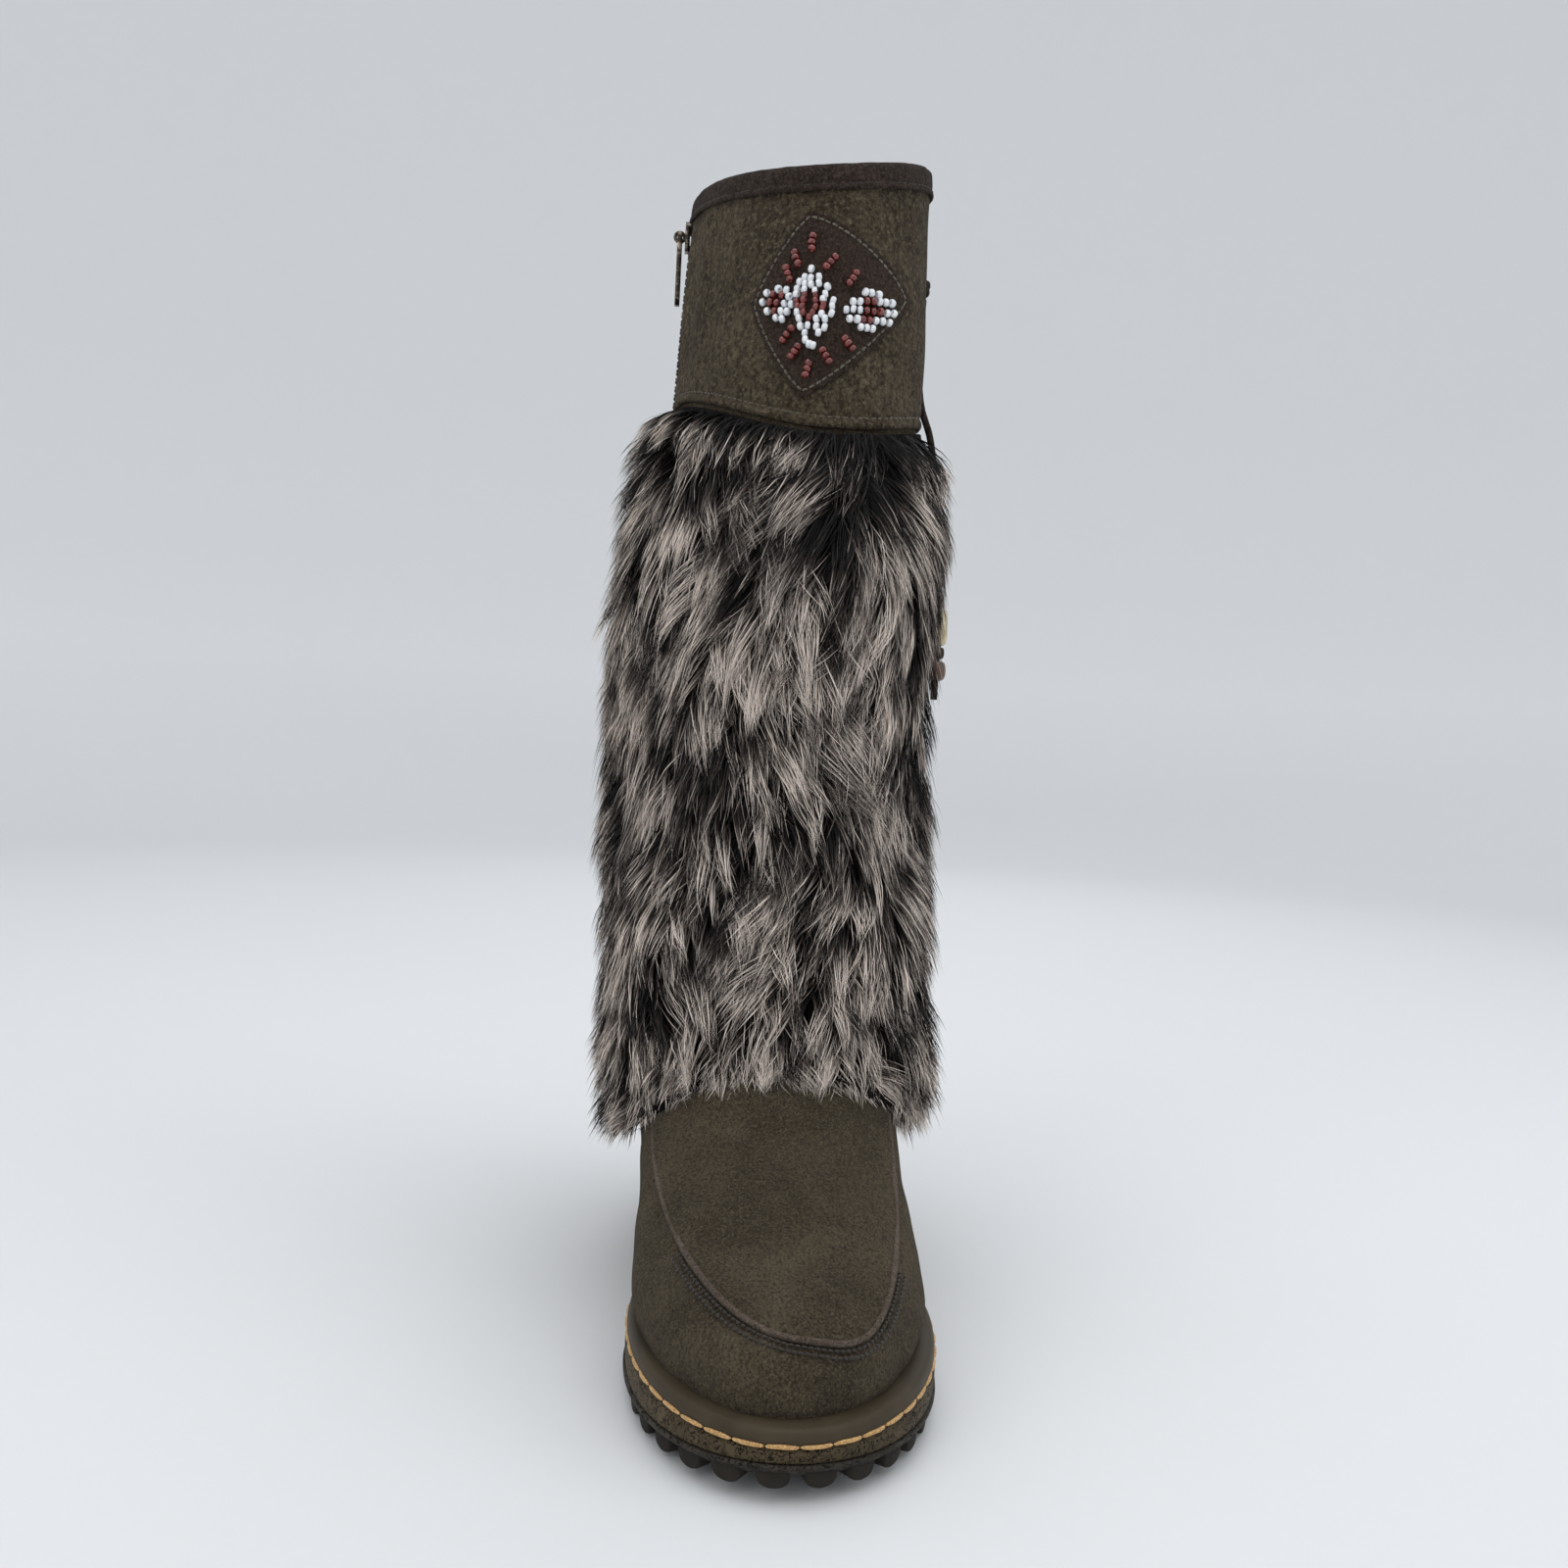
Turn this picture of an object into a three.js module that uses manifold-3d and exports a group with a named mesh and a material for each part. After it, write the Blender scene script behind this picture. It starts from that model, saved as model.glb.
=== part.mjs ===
// Tall winter boot for the left foot: suede foot and cuff, a fur sleeve round the shaft, a welted rubber
// sole, a zip on the inner side, a beaded patch on the cuff and a tie with beads on the outer side.
// Millimetres, +Z up. The toe points along -Y and the outer side of the foot is +X. The origin is the
// middle of the heel's flat tread pad, on the floor.
import * as THREE from "three";
import { mergeVertices } from "three/addons/utils/BufferGeometryUtils.js";
import Module from "manifold-3d";

const wasm = await Module();
wasm.setup();

// Driving dimensions
const SOLE_LENGTH = 276;
const HEEL_TO_ORIGIN = 46;
const WALL = 2.6;
const GAP = 0.3;
const INSOLE_THICKNESS = 4;

// Heights of the sole: its lugs, the outsole above the lugs' floor, and the curves of its underside
const LUG_HEIGHT = 3.6;
const OUTSOLE_HEIGHT = 7.6;
const TOE_SPRING = 5;
const SPRING_START = 205;
const HEEL_BEVEL = 1.5;
const ARCH = { from: 78, to: 150, height: 1.2 };
const WELT = { height: 5.2, lip: 6 };

// How many points go round a section of the upper, and round the sole
const ROUND_UPPER = 28;
const ROUND_SOLE = 36;

// The places along a section, as shares of its length, where its heel, waist and ball widths are given
const HEEL_AT = 0.16;
const WAIST_AT = 0.42;
const BALL_AT = 0.7;

// Sections of the upper, from the sole's edge up to the collar. Back and front are distances from the
// heel end of the sole, with their heights. Bow lifts the middle of a section and tilt its outer side.
// Heel, waist and ball are half widths, endHeel and endToe the lengths of the rounded ends, and the last
// three shift the middle line outwards at the back, halfway and at the front. The slack shaft turns its
// front outwards towards the collar.
const COLUMNS = [
  "back", "zBack", "front", "zFront", "bow", "tilt", "heel", "waist", "ball", "endHeel", "endToe",
  "shiftBack", "shiftMid", "shiftFront",
];
const LEVELS = [
  [9, 26.6, 267, 17.2, -1.5, 0, 31, 35, 46, 42, 84, 0, 3, 0],
  [5, 40, 269.5, 27, -1, 0, 36, 41, 49, 44, 84, 0, 2.3, 0.5],
  [4.5, 54, 266, 37, 0, 0, 39, 45, 48, 46, 82, 0, 1.2, 1],
  [5, 70, 255, 45, 0, 0, 41, 47, 46.5, 48, 80, 0, 0.5, 2],
  [7, 87, 236, 54, 0, 0, 43, 48, 45.5, 50, 84, 0, 0.5, 2],
  [9.5, 104, 210, 66, 0, 0, 44.5, 48, 46, 54, 84, -0.4, 0.6, 1.6],
  [11.5, 121, 184, 81, 0, 0, 46, 48, 46.5, 58, 78, -1.6, -0.1, 0.4],
  [12.5, 139, 162, 103, 0, 0, 47, 48, 47.5, 62, 71, -3, -0.5, 0],
  [12.5, 160, 148, 132, 0, 0, 48, 48, 48, 66, 67, -4.2, -1.2, -0.2],
  [11.5, 195, 140, 176, 1, 0, 48.5, 48.5, 48.5, 64, 64, -5.4, -2.4, -0.4],
  [9.5, 245, 137, 230, 2, 0, 49, 49, 49, 63.8, 63.8, -6.2, -2.7, 0.8],
  [8, 296, 136, 280, 4, -2, 48.8, 48.8, 48.8, 64, 64, -6.6, -0.2, 6.4],
  [7, 340, 134.5, 327, 8, -3, 46.8, 46.8, 46.8, 63.8, 63.8, -7, 2.2, 11],
  [8, 386, 132.5, 376, 8, 1, 45.1, 45.1, 45.1, 62.2, 62.2, -7.6, 3.1, 13.4],
  [9.5, 432, 130.5, 423.5, 6.5, 5, 42.9, 42.9, 42.9, 60.5, 60.5, -7.4, 3.8, 13.6],
].map((row) => Object.fromEntries(COLUMNS.map((name, i) => [name, row[i]])));
const TOP_LEVEL = LEVELS.length - 1;

// The sole's outline, in the same terms as a section of the upper
const SOLE_OUTLINE = {
  back: 0, front: SOLE_LENGTH, heel: 36, waist: 40.5, ball: 51.5, endHeel: 42, endToe: 84,
  shiftBack: 0, shiftMid: 3.5, shiftFront: 1,
};

// The zip runs down the inner side, a little behind the middle. An angle of 0 is the back of the boot, a
// quarter turn the outer side and a half turn the front.
const ZIP = { angle: (282 * Math.PI) / 180, halfGap: 5.5, tape: 9.6, thickness: 1.2, bottomLevel: 4.6 };

// Heights of the edges of the fur and the cuff at the back, the outer side, the front and the inner side
const FUR_HEM = { back: 68, outer: 75, front: 97, inner: 71 };
const CUFF_HEM = { back: 336, outer: 339, front: 328, inner: 345 };
const SEAM_LAP = 2;
const BINDING = { height: 8.5, gap: 0.6, thickness: 2.4, over: 1.8 };
const CUFF_THICKNESS = 1.6;

const smooth = (t) => t * t * (3 - 2 * t);
const clamp01 = (t) => Math.min(1, Math.max(0, t));
const mix = (a, b, t) => a + (b - a) * t;
const steps = (count) => Array.from({ length: count + 1 }, (_, i) => i / count);
const angles = (count) => Array.from({ length: count }, (_, i) => (2 * Math.PI * i) / count);

// A value between four that are given at the back, the outer side, the front and the inner side
function around({ back, outer, front, inner }, angle) {
  const [across, along] = [Math.sin(angle), Math.cos(angle)];
  return along * along * (along > 0 ? back : front) + across * across * (across > 0 ? outer : inner);
}

// One column of the section table at any level, as a smooth curve through its rows
function column(name, level) {
  const row = Math.min(TOP_LEVEL - 1, Math.floor(level));
  const at = (i) => LEVELS[Math.min(TOP_LEVEL, Math.max(0, i))][name];
  const t = level - row;
  const [a, b, c, d] = [at(row - 1), at(row), at(row + 1), at(row + 2)];
  return b + 0.5 * t * (c - a + t * (2 * a - 5 * b + 4 * c - d + t * (3 * (b - c) + d - a)));
}

const sectionAt = (level) => Object.fromEntries(COLUMNS.map((name) => [name, column(name, level)]));

// How far a rounded end has opened at a distance from its tip: a quarter of an ellipse
const quarter = (distance, length) => Math.sqrt(1 - (1 - clamp01(distance / length)) ** 2);

// The half width of a section at a share of its length
function halfWidth(section, share) {
  const { heel, waist, ball } = section;
  const toWaist = smooth(clamp01((share - HEEL_AT) / (WAIST_AT - HEEL_AT)));
  const toBall = smooth(clamp01((share - WAIST_AT) / (BALL_AT - WAIST_AT)));
  const length = section.front - section.back;
  const plain = heel + (waist - heel) * toWaist + (ball - waist) * toBall;
  return plain * quarter(share * length, section.endHeel) * quarter((1 - share) * length, section.endToe);
}

// A section's point at an angle, as its place across and its distance from the heel end
function planPoint(section, angle) {
  const share = (1 - Math.cos(angle)) / 2;
  const { shiftBack, shiftMid, shiftFront } = section;
  const atBack = shiftBack * (1 - share) * (1 - 2 * share);
  const atMiddle = shiftMid * 4 * share * (1 - share);
  const middle = atBack + atMiddle + shiftFront * share * (2 * share - 1);
  const x = middle + Math.sign(Math.sin(angle)) * halfWidth(section, share);
  return { x, along: section.back + share * (section.front - section.back), share };
}

// A point of the upper's outer surface
function barePoint(angle, level) {
  const section = sectionAt(level);
  const { x, along, share } = planPoint(section, angle);
  const lift = section.bow * 4 * share * (1 - share) + section.tilt * Math.sin(angle);
  return new THREE.Vector3(x, HEEL_TO_ORIGIN - along, mix(section.zBack, section.zFront, share) + lift);
}

// The outward direction of the upper's surface
function upperNormal(angle, level) {
  const reach = 0.02;
  const round = barePoint(angle + reach, level).sub(barePoint(angle - reach, level));
  const above = barePoint(angle, Math.min(TOP_LEVEL, level + reach));
  const up = above.sub(barePoint(angle, Math.max(0, level - reach)));
  return up.cross(round).normalize();
}

// The upper's surface pushed outwards by an offset
const upperPoint = (angle, level, offset) =>
  barePoint(angle, level).addScaledVector(upperNormal(angle, level), offset);

// The level at which the upper's surface reaches a height
function levelAtHeight(angle, height) {
  let [low, high] = [0, TOP_LEVEL];
  for (let i = 0; i < 30; i++) {
    const middle = (low + high) / 2;
    if (barePoint(angle, middle).z < height) low = middle;
    else high = middle;
  }
  return low;
}

// The angle of a line beside the zip, at a distance from its middle
function besideZip(level, distance) {
  const section = sectionAt(level);
  return ZIP.angle + distance / (((section.front - section.back) / 2) * -Math.sin(ZIP.angle));
}

// Height of the floor side of the sole at a distance from the heel end
function floorLine(along) {
  const toe = Math.max(0, (along - SPRING_START) / (SOLE_LENGTH - SPRING_START));
  const heel = Math.max(0, 1 - along / (HEEL_TO_ORIGIN / 2));
  const arch = Math.sin(Math.PI * clamp01((along - ARCH.from) / (ARCH.to - ARCH.from)));
  return TOE_SPRING * toe * toe + HEEL_BEVEL * heel * heel + ARCH.height * arch * arch;
}

// The seat of the upper on the sole: the line that the upper's lowest section follows, carried on to the
// sole's ends
function midsoleTop(along) {
  const { back, front, zBack, zFront, bow } = LEVELS[0];
  const share = (along - back) / (front - back);
  return mix(zBack, zFront, share) + bow * 4 * share * (1 - share) - GAP;
}

// Joins rings of equal count into a closed surface. A looped surface joins its last ring to its first;
// any other is closed at both ends by rungs from each point to the one across the ring.
function loft(rings, looped) {
  const count = rings[0].length;
  const positions = rings.flat().flatMap((p) => [p.x, p.y, p.z]);
  const triangles = [];
  const quad = (a, b, c, d) => triangles.push(a, b, c, a, c, d);
  const spans = looped ? rings.length : rings.length - 1;
  for (let r = 0; r < spans; r++) {
    const [here, next] = [r * count, ((r + 1) % rings.length) * count];
    for (let i = 0; i < count; i++) {
      const j = (i + 1) % count;
      quad(here + i, here + j, next + j, next + i);
    }
  }
  if (!looped) {
    rungs(triangles, 0, count, true);
    rungs(triangles, (rings.length - 1) * count, count, false);
  }
  return closedGeometry(positions, triangles);
}

function rungs(triangles, start, count, flipped) {
  const add = (a, b, c) => triangles.push(...(flipped ? [a, c, b] : [a, b, c]));
  const at = (i) => start + ((i + count) % count);
  const half = Math.floor(count / 2);
  for (let i = 0; i < half; i++) {
    if (i > 0) add(at(i), at(i + 1), at(-i));
    if (i + 1 < count - i - 1) add(at(i + 1), at(-i - 1), at(-i));
  }
}

// A geometry whose faces point outwards, whichever way round its rings were given
function closedGeometry(positions, triangles) {
  const corner = (i) => new THREE.Vector3().fromArray(positions, 3 * i);
  let volume = 0;
  for (let i = 0; i < triangles.length; i += 3) {
    const [a, b, c] = triangles.slice(i, i + 3).map(corner);
    volume += a.dot(b.cross(c));
  }
  const order = volume < 0 ? [0, 2, 1] : [0, 1, 2];
  const geometry = new THREE.BufferGeometry();
  geometry.setAttribute("position", new THREE.Float32BufferAttribute(positions, 3));
  geometry.setIndex(triangles.map((_, i) => triangles[i - (i % 3) + order[i % 3]]));
  return geometry;
}

function toSolid(geometry) {
  const bare = geometry.clone();
  bare.deleteAttribute("normal");
  bare.deleteAttribute("uv");
  const merged = mergeVertices(bare, 1e-4);
  const mesh = new wasm.Mesh({
    numProp: 3,
    vertProperties: new Float32Array(merged.attributes.position.array),
    triVerts: new Uint32Array(merged.index.array),
  });
  return new wasm.Manifold(mesh);
}

function toGeometry(solid) {
  const mesh = solid.getMesh();
  const geometry = new THREE.BufferGeometry();
  geometry.setAttribute("position", new THREE.BufferAttribute(mesh.vertProperties, 3));
  geometry.setIndex(new THREE.BufferAttribute(mesh.triVerts, 1));
  return geometry;
}

// A ring of the sole's outline, moved inwards, with its height from the distance along the sole
function soleRing(inset, height) {
  const moved = { ...SOLE_OUTLINE, back: inset, front: SOLE_LENGTH - inset };
  for (const name of ["heel", "waist", "ball", "endHeel", "endToe"]) moved[name] -= inset;
  return angles(ROUND_SOLE).map((angle) => {
    const { x, along } = planPoint(moved, angle);
    return new THREE.Vector3(x, HEEL_TO_ORIGIN - along, height(along));
  });
}

// Levels at which the upper is sectioned: closer together over the foot than up the shaft
const UPPER_LEVELS = [
  0, 0.5, 1, 1.5, 2, 2.5, 3, 3.5, 4, 4.5, 5, 5.5, 6, 6.5, 7, 7.5, 8, 8.5, 9, 10, 11, 12, 13, 14,
];
const INNER_LEVELS = [0, 1, 2, 3, 4, 5, 6, 6.5, 7, 7.5, 8, 9, 10, 12, 14];
const upperRing = (level, offset) => angles(ROUND_UPPER).map((angle) => upperPoint(angle, level, offset));

// The whole form of the upper as one filled solid through some levels, for cutting other pieces to it
const filledForm = (offset, levels) =>
  toSolid(loft(levels.map((level) => upperRing(level, offset)), false));
const upperForm = (offset, from = 0, to = TOP_LEVEL) =>
  filledForm(offset, UPPER_LEVELS.filter((level) => level >= from && level <= to));

// The same form with fewer sections, for cutting what lies loosely on it
const COARSE_LEVELS = [1, 2, 3, 4, 5, 5.5, 6, 6.5, 7, 7.5, 8, 9, 10, 11, 12, 13, 14];
const coarseForm = (offset) => filledForm(offset, COARSE_LEVELS);

function makeUpper() {
  const outer = UPPER_LEVELS.map((level) => upperRing(level, 0));
  const inner = INNER_LEVELS.map((level) => upperRing(level, -WALL)).reverse();
  return loft([...outer, ...inner], true);
}

// The outsole: a plate with a lip at its top edge, lugs round its edge and oval pads and bars under its
// middle
const OUTSOLE_PROFILE = [
  { inset: 5, height: LUG_HEIGHT },
  { inset: 2, height: LUG_HEIGHT + 1 },
  { inset: 0.4, height: OUTSOLE_HEIGHT - 2 },
  { inset: -0.4, height: OUTSOLE_HEIGHT - 0.9 },
  { inset: 0.2, height: OUTSOLE_HEIGHT },
];
const EDGE_LUG = { pitch: 14.5, length: 9.6, depth: 12, inset: 1.8, corner: 1.7 };
const HEEL_PAD = { along: HEEL_TO_ORIGIN, length: 30, width: 26 };
const BALL_PAD = { along: 190, length: 34, width: 40 };
const MIDDLE_BAR = { length: 9, width: 34, pitch: 17, starts: [76, 220], counts: [6, 2] };

function ovalPad(pad, x) {
  const outline = new THREE.Shape().absellipse(0, 0, pad.width / 2, pad.length / 2, 0, 2 * Math.PI);
  const options = { depth: LUG_HEIGHT + 1, bevelEnabled: false, curveSegments: 6 };
  const lug = new THREE.ExtrudeGeometry(outline, options);
  lug.translate(x, HEEL_TO_ORIGIN - pad.along, floorLine(pad.along));
  return toSolid(lug);
}

// A lug at the edge: a half-round tooth seen from outside, standing across the edge
function edgeLug({ x, along, turn }) {
  const { length, depth, corner } = EDGE_LUG;
  const [side, top, knee] = [length / 2, LUG_HEIGHT + 1.4, LUG_HEIGHT * 0.45];
  const outline = new THREE.Shape([
    new THREE.Vector2(-side, top),
    new THREE.Vector2(-side, knee),
    new THREE.Vector2(-side + corner, 0),
    new THREE.Vector2(side - corner, 0),
    new THREE.Vector2(side, knee),
    new THREE.Vector2(side, top),
  ]);
  const lug = new THREE.ExtrudeGeometry(outline, { depth, bevelEnabled: false });
  lug.rotateX(Math.PI / 2);
  lug.rotateZ(turn);
  lug.translate(x, HEEL_TO_ORIGIN - along, floorLine(along));
  return toSolid(lug);
}

// Places round the sole's edge at an equal pitch, each with the direction of the edge there
function edgePlaces(inset, pitch) {
  const line = new THREE.CatmullRomCurve3(soleRing(inset, () => 0), true);
  const count = Math.round(line.getLength() / pitch);
  return Array.from({ length: count }, (_, i) => {
    const [point, way] = [line.getPointAt((i + 0.5) / count), line.getTangentAt((i + 0.5) / count)];
    return { x: point.x, along: HEEL_TO_ORIGIN - point.y, turn: Math.atan2(way.y, way.x) };
  });
}

function makeOutsole() {
  const rings = OUTSOLE_PROFILE.map(({ inset, height }) =>
    soleRing(inset, (along) => floorLine(along) + height),
  );
  let solid = toSolid(loft(rings, false));
  for (const place of edgePlaces(EDGE_LUG.inset, EDGE_LUG.pitch)) solid = solid.add(edgeLug(place));
  solid = solid.add(ovalPad(HEEL_PAD, 0)).add(ovalPad(BALL_PAD, SOLE_OUTLINE.shiftMid));
  MIDDLE_BAR.starts.forEach((start, run) => {
    for (let i = 0; i < MIDDLE_BAR.counts[run]; i++) {
      const along = start + i * MIDDLE_BAR.pitch;
      solid = solid.add(ovalPad({ ...MIDDLE_BAR, along }, SOLE_OUTLINE.shiftMid));
    }
  });
  return toGeometry(solid);
}

function makeMidsole() {
  const low = (along) => floorLine(along) + OUTSOLE_HEIGHT + GAP;
  const between = (share) => (along) => mix(low(along), midsoleTop(along), share);
  const rings = [
    soleRing(1, low),
    soleRing(0.2, between(0.2)),
    soleRing(0.2, between(0.75)),
    soleRing(1.2, midsoleTop),
  ];
  return loft(rings, false);
}

function makeWelt() {
  const over = (height) => (along) => midsoleTop(along) + height;
  const rings = [
    soleRing(1.4, over(GAP)),
    soleRing(0.5, over(1)),
    soleRing(1.1, over(WELT.height - 0.9)),
    soleRing(2.2, over(WELT.height)),
    soleRing(WELT.lip + 6, over(WELT.height + 0.4)),
  ];
  return toGeometry(toSolid(loft(rings, false)).subtract(upperForm(GAP, 0, 3)));
}

function makeInsole() {
  const ring = (height, offset) =>
    angles(ROUND_UPPER).map((angle) => {
      const point = upperPoint(angle, 0, -WALL - offset);
      point.z = midsoleTop(HEEL_TO_ORIGIN - point.y) + height;
      return point;
    });
  return loft([ring(GAP, 1.5), ring(INSOLE_THICKNESS - 0.8, 0.8), ring(INSOLE_THICKNESS, 1.6)], false);
}

// The angles of a sleeve with a slit at the zip: the slit's two edges, and between them the upper's own
// angles
function sleeveAngles(slit, columns) {
  const half = (1.2 * slit) / HEEL_TO_ORIGIN;
  const [first, last] = [ZIP.angle + half, ZIP.angle - half + 2 * Math.PI];
  const turns = steps(2 * columns).map((share) => 4 * Math.PI * share);
  return [first, ...turns.filter((angle) => angle > first && angle < last), last];
}

// A sleeve round the shaft with a slit at the zip. Its ends are heights round the boot, and its thickness
// is a function of the place round the sleeve and the share of its height, both from 0 to 1.
function sleeve({ low, high, slit, inside, columns, rows, innerRows, outside }) {
  const turns = sleeveAngles(slit, columns);
  const place = (i, v, offset) => {
    const level = mix(levelAtHeight(turns[i], low(turns[i])), levelAtHeight(turns[i], high(turns[i])), v);
    const edges = { 0: besideZip(level, slit), [turns.length - 1]: besideZip(level, -slit) + 2 * Math.PI };
    return upperPoint(edges[i] ?? turns[i], level, offset);
  };
  const rings = turns.map((turn, i) => {
    const u = (turn - turns[0]) / (turns.at(-1) - turns[0]);
    return [
      ...steps(innerRows).map((v) => place(i, v, inside)),
      ...steps(rows).reverse().map((v) => place(i, v, inside + outside(turn, v, u))),
    ];
  });
  return loft(rings, false);
}

const collarDrop = (drop) => (angle) => barePoint(angle, TOP_LEVEL).z - drop;

function makeCuff() {
  return sleeve({
    low: (angle) => around(CUFF_HEM, angle),
    high: collarDrop(BINDING.height + GAP),
    slit: ZIP.halfGap,
    inside: GAP,
    columns: ROUND_UPPER,
    rows: 4,
    innerRows: 3,
    outside: () => CUFF_THICKNESS,
  });
}

// The binding folds over the collar's edge: a hook-shaped section carried round from one side of the zip
// to the other
function makeBinding() {
  const { height, gap, thickness, over } = BINDING;
  const section = [
    [thickness, -height],
    [thickness + 0.5, -height + 1.6],
    [thickness, 0],
    [thickness / 2, over],
    [-WALL - thickness / 3, over],
    [-WALL - gap - 1.2, 0],
    [-WALL - gap - 1.2, -height],
    [-WALL - gap, -height],
    [-WALL - gap, gap],
    [gap, gap],
    [gap, -height],
  ];
  const rings = sleeveAngles(ZIP.halfGap, ROUND_UPPER).map((angle) =>
    section.map(([offset, rise]) => {
      const level = levelAtHeight(angle, barePoint(angle, TOP_LEVEL).z + Math.min(0, rise));
      const point = upperPoint(angle, level, offset);
      point.z += Math.max(0, rise);
      return point;
    }),
  );
  return loft(rings, false);
}

// The fur: locks lie like shingles, thicker towards their tips, and loose locks stand out of it all round
const FUR = {
  inside: -1.2,
  thickness: 19.5,
  edge: 11,
  relief: 7,
  locks: 14,
  lockRows: 6,
  rows: 17,
  groove: 9,
};
const LOOSE = { length: 30, width: 14, depth: 6.5, sink: 8 };
const TIE_ANGLE = Math.PI / 2;

// A repeatable number from 0 to 1 for each whole number
const scatter = (n) => {
  const value = Math.sin(n * 127.1 + 11.7) * 43758.5453;
  return value - Math.floor(value);
};

// The thickness of the fur at an angle and a share of its height, with a parting where the tie hangs
function furThickness(angle, v, u) {
  const lock = Math.floor(u * FUR.locks);
  const across = Math.sin(Math.PI * (u * FUR.locks - lock));
  const down = (1 - v) * FUR.lockRows + scatter(lock);
  const shingle = (down - Math.floor(down)) * (0.35 + 0.65 * across);
  const edge = smooth(clamp01(Math.min(u, 1 - u) / 0.04)) * smooth(clamp01(0.5 + (1 - v) / 0.1));
  const parted = Math.abs(angle - TIE_ANGLE - 2 * Math.PI) < 0.01;
  return parted ? FUR.groove : mix(FUR.edge, FUR.thickness + FUR.relief * (shingle - 0.5), edge);
}

// One loose lock: a flat, pointed tongue that starts inside the fur and hangs outwards and down
function looseLock(angle, level, rise, turnOut) {
  const root = upperPoint(angle, level, FUR.thickness - LOOSE.sink);
  const out = upperNormal(angle, level);
  const down = new THREE.Vector3(0, 0, rise).addScaledVector(out, turnOut).normalize();
  const side = new THREE.Vector3().crossVectors(down, out).normalize();
  const face = new THREE.Vector3().crossVectors(side, down).normalize();
  const ring = (share, size) => {
    const middle = root.clone().addScaledVector(down, share * LOOSE.length);
    const [width, depth] = [size * LOOSE.width, size * LOOSE.depth];
    const corner = (across, over) =>
      middle.clone().addScaledVector(side, across * width).addScaledVector(face, over * depth);
    return [corner(0.5, 0), corner(0, 0.5), corner(-0.5, 0), corner(0, -0.5)];
  };
  return toSolid(loft([ring(0, 0.6), ring(0.4, 1), ring(1, 0.08)], false));
}

// Rows of loose locks: how far up the fur, how many, how they rise or fall, and how far they turn out
const LOOSE_ROWS = [
  { share: 0.04, count: 20, rise: -1, turnOut: 0.05 },
  { share: 0.2, count: 9, rise: -1, turnOut: 0.2 },
  { share: 0.4, count: 9, rise: -1, turnOut: 0.2 },
  { share: 0.6, count: 9, rise: -1, turnOut: 0.2 },
  { share: 0.8, count: 9, rise: -1, turnOut: 0.25 },
  { share: 0.97, count: 12, rise: -1, turnOut: 0.45 },
];
const CLEAR_OF_ZIP = 0.26;
const CLEAR_OF_TIE = 0.26;

function makeFur() {
  const seam = (angle) => around(CUFF_HEM, angle) - SEAM_LAP;
  const hem = (angle) => around(FUR_HEM, angle);
  let solid = toSolid(
    sleeve({
      low: hem,
      high: seam,
      slit: ZIP.halfGap,
      inside: FUR.inside,
      columns: ROUND_UPPER,
      rows: FUR.rows,
      innerRows: FUR.rows,
      outside: furThickness,
    }),
  );
  LOOSE_ROWS.forEach(({ share, count, rise, turnOut }, row) => {
    for (let i = 0; i < count; i++) {
      const turn = (i + 0.5 + 0.4 * (scatter(row * 40 + i) - 0.5)) / count;
      const angle = mix(ZIP.angle + CLEAR_OF_ZIP, ZIP.angle - CLEAR_OF_ZIP + 2 * Math.PI, turn);
      if (Math.abs(angle - TIE_ANGLE - 2 * Math.PI) < CLEAR_OF_TIE) continue;
      const height = mix(hem(angle), seam(angle), share + 0.05 * (scatter(i * 7 + row) - 0.5));
      solid = solid.add(looseLock(angle, levelAtHeight(angle, height), rise, turnOut));
    }
  });
  return toGeometry(solid.subtract(coarseForm(0.8)));
}

// The ridge of the moccasin seam: a low bead laid on the vamp along a U that opens towards the shaft. The
// U is given from above, by where it starts and ends along the foot, its half width there and how far its
// toe leans outwards.
const PLUG = {
  start: 150,
  front: 260.5,
  halfWidth: 42,
  fullness: 0.81,
  lean: 6.9,
  squareness: 1.03,
  open: 0.18,
  steps: 24,
};
const RIDGE = { width: 3, rise: 1.7, root: -0.6 };

// The upper's surface straight above a place of the foot, as an angle and a level
function surfaceAbove(x, along) {
  const angleAt = (level) => {
    const section = sectionAt(level);
    const share = (along - section.back) / (section.front - section.back);
    if (share >= 1) return null;
    const turn = Math.acos(1 - 2 * share);
    const [outer, inner] = [planPoint(section, turn), planPoint(section, -turn)];
    if (x > outer.x || x < inner.x) return null;
    return x > (outer.x + inner.x) / 2 ? turn : -turn;
  };
  let [low, high] = [1, 8];
  for (let i = 0; i < 30; i++) {
    const middle = (low + high) / 2;
    if (angleAt(middle) === null) high = middle;
    else low = middle;
  }
  return { angle: angleAt(low), level: low };
}

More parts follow.
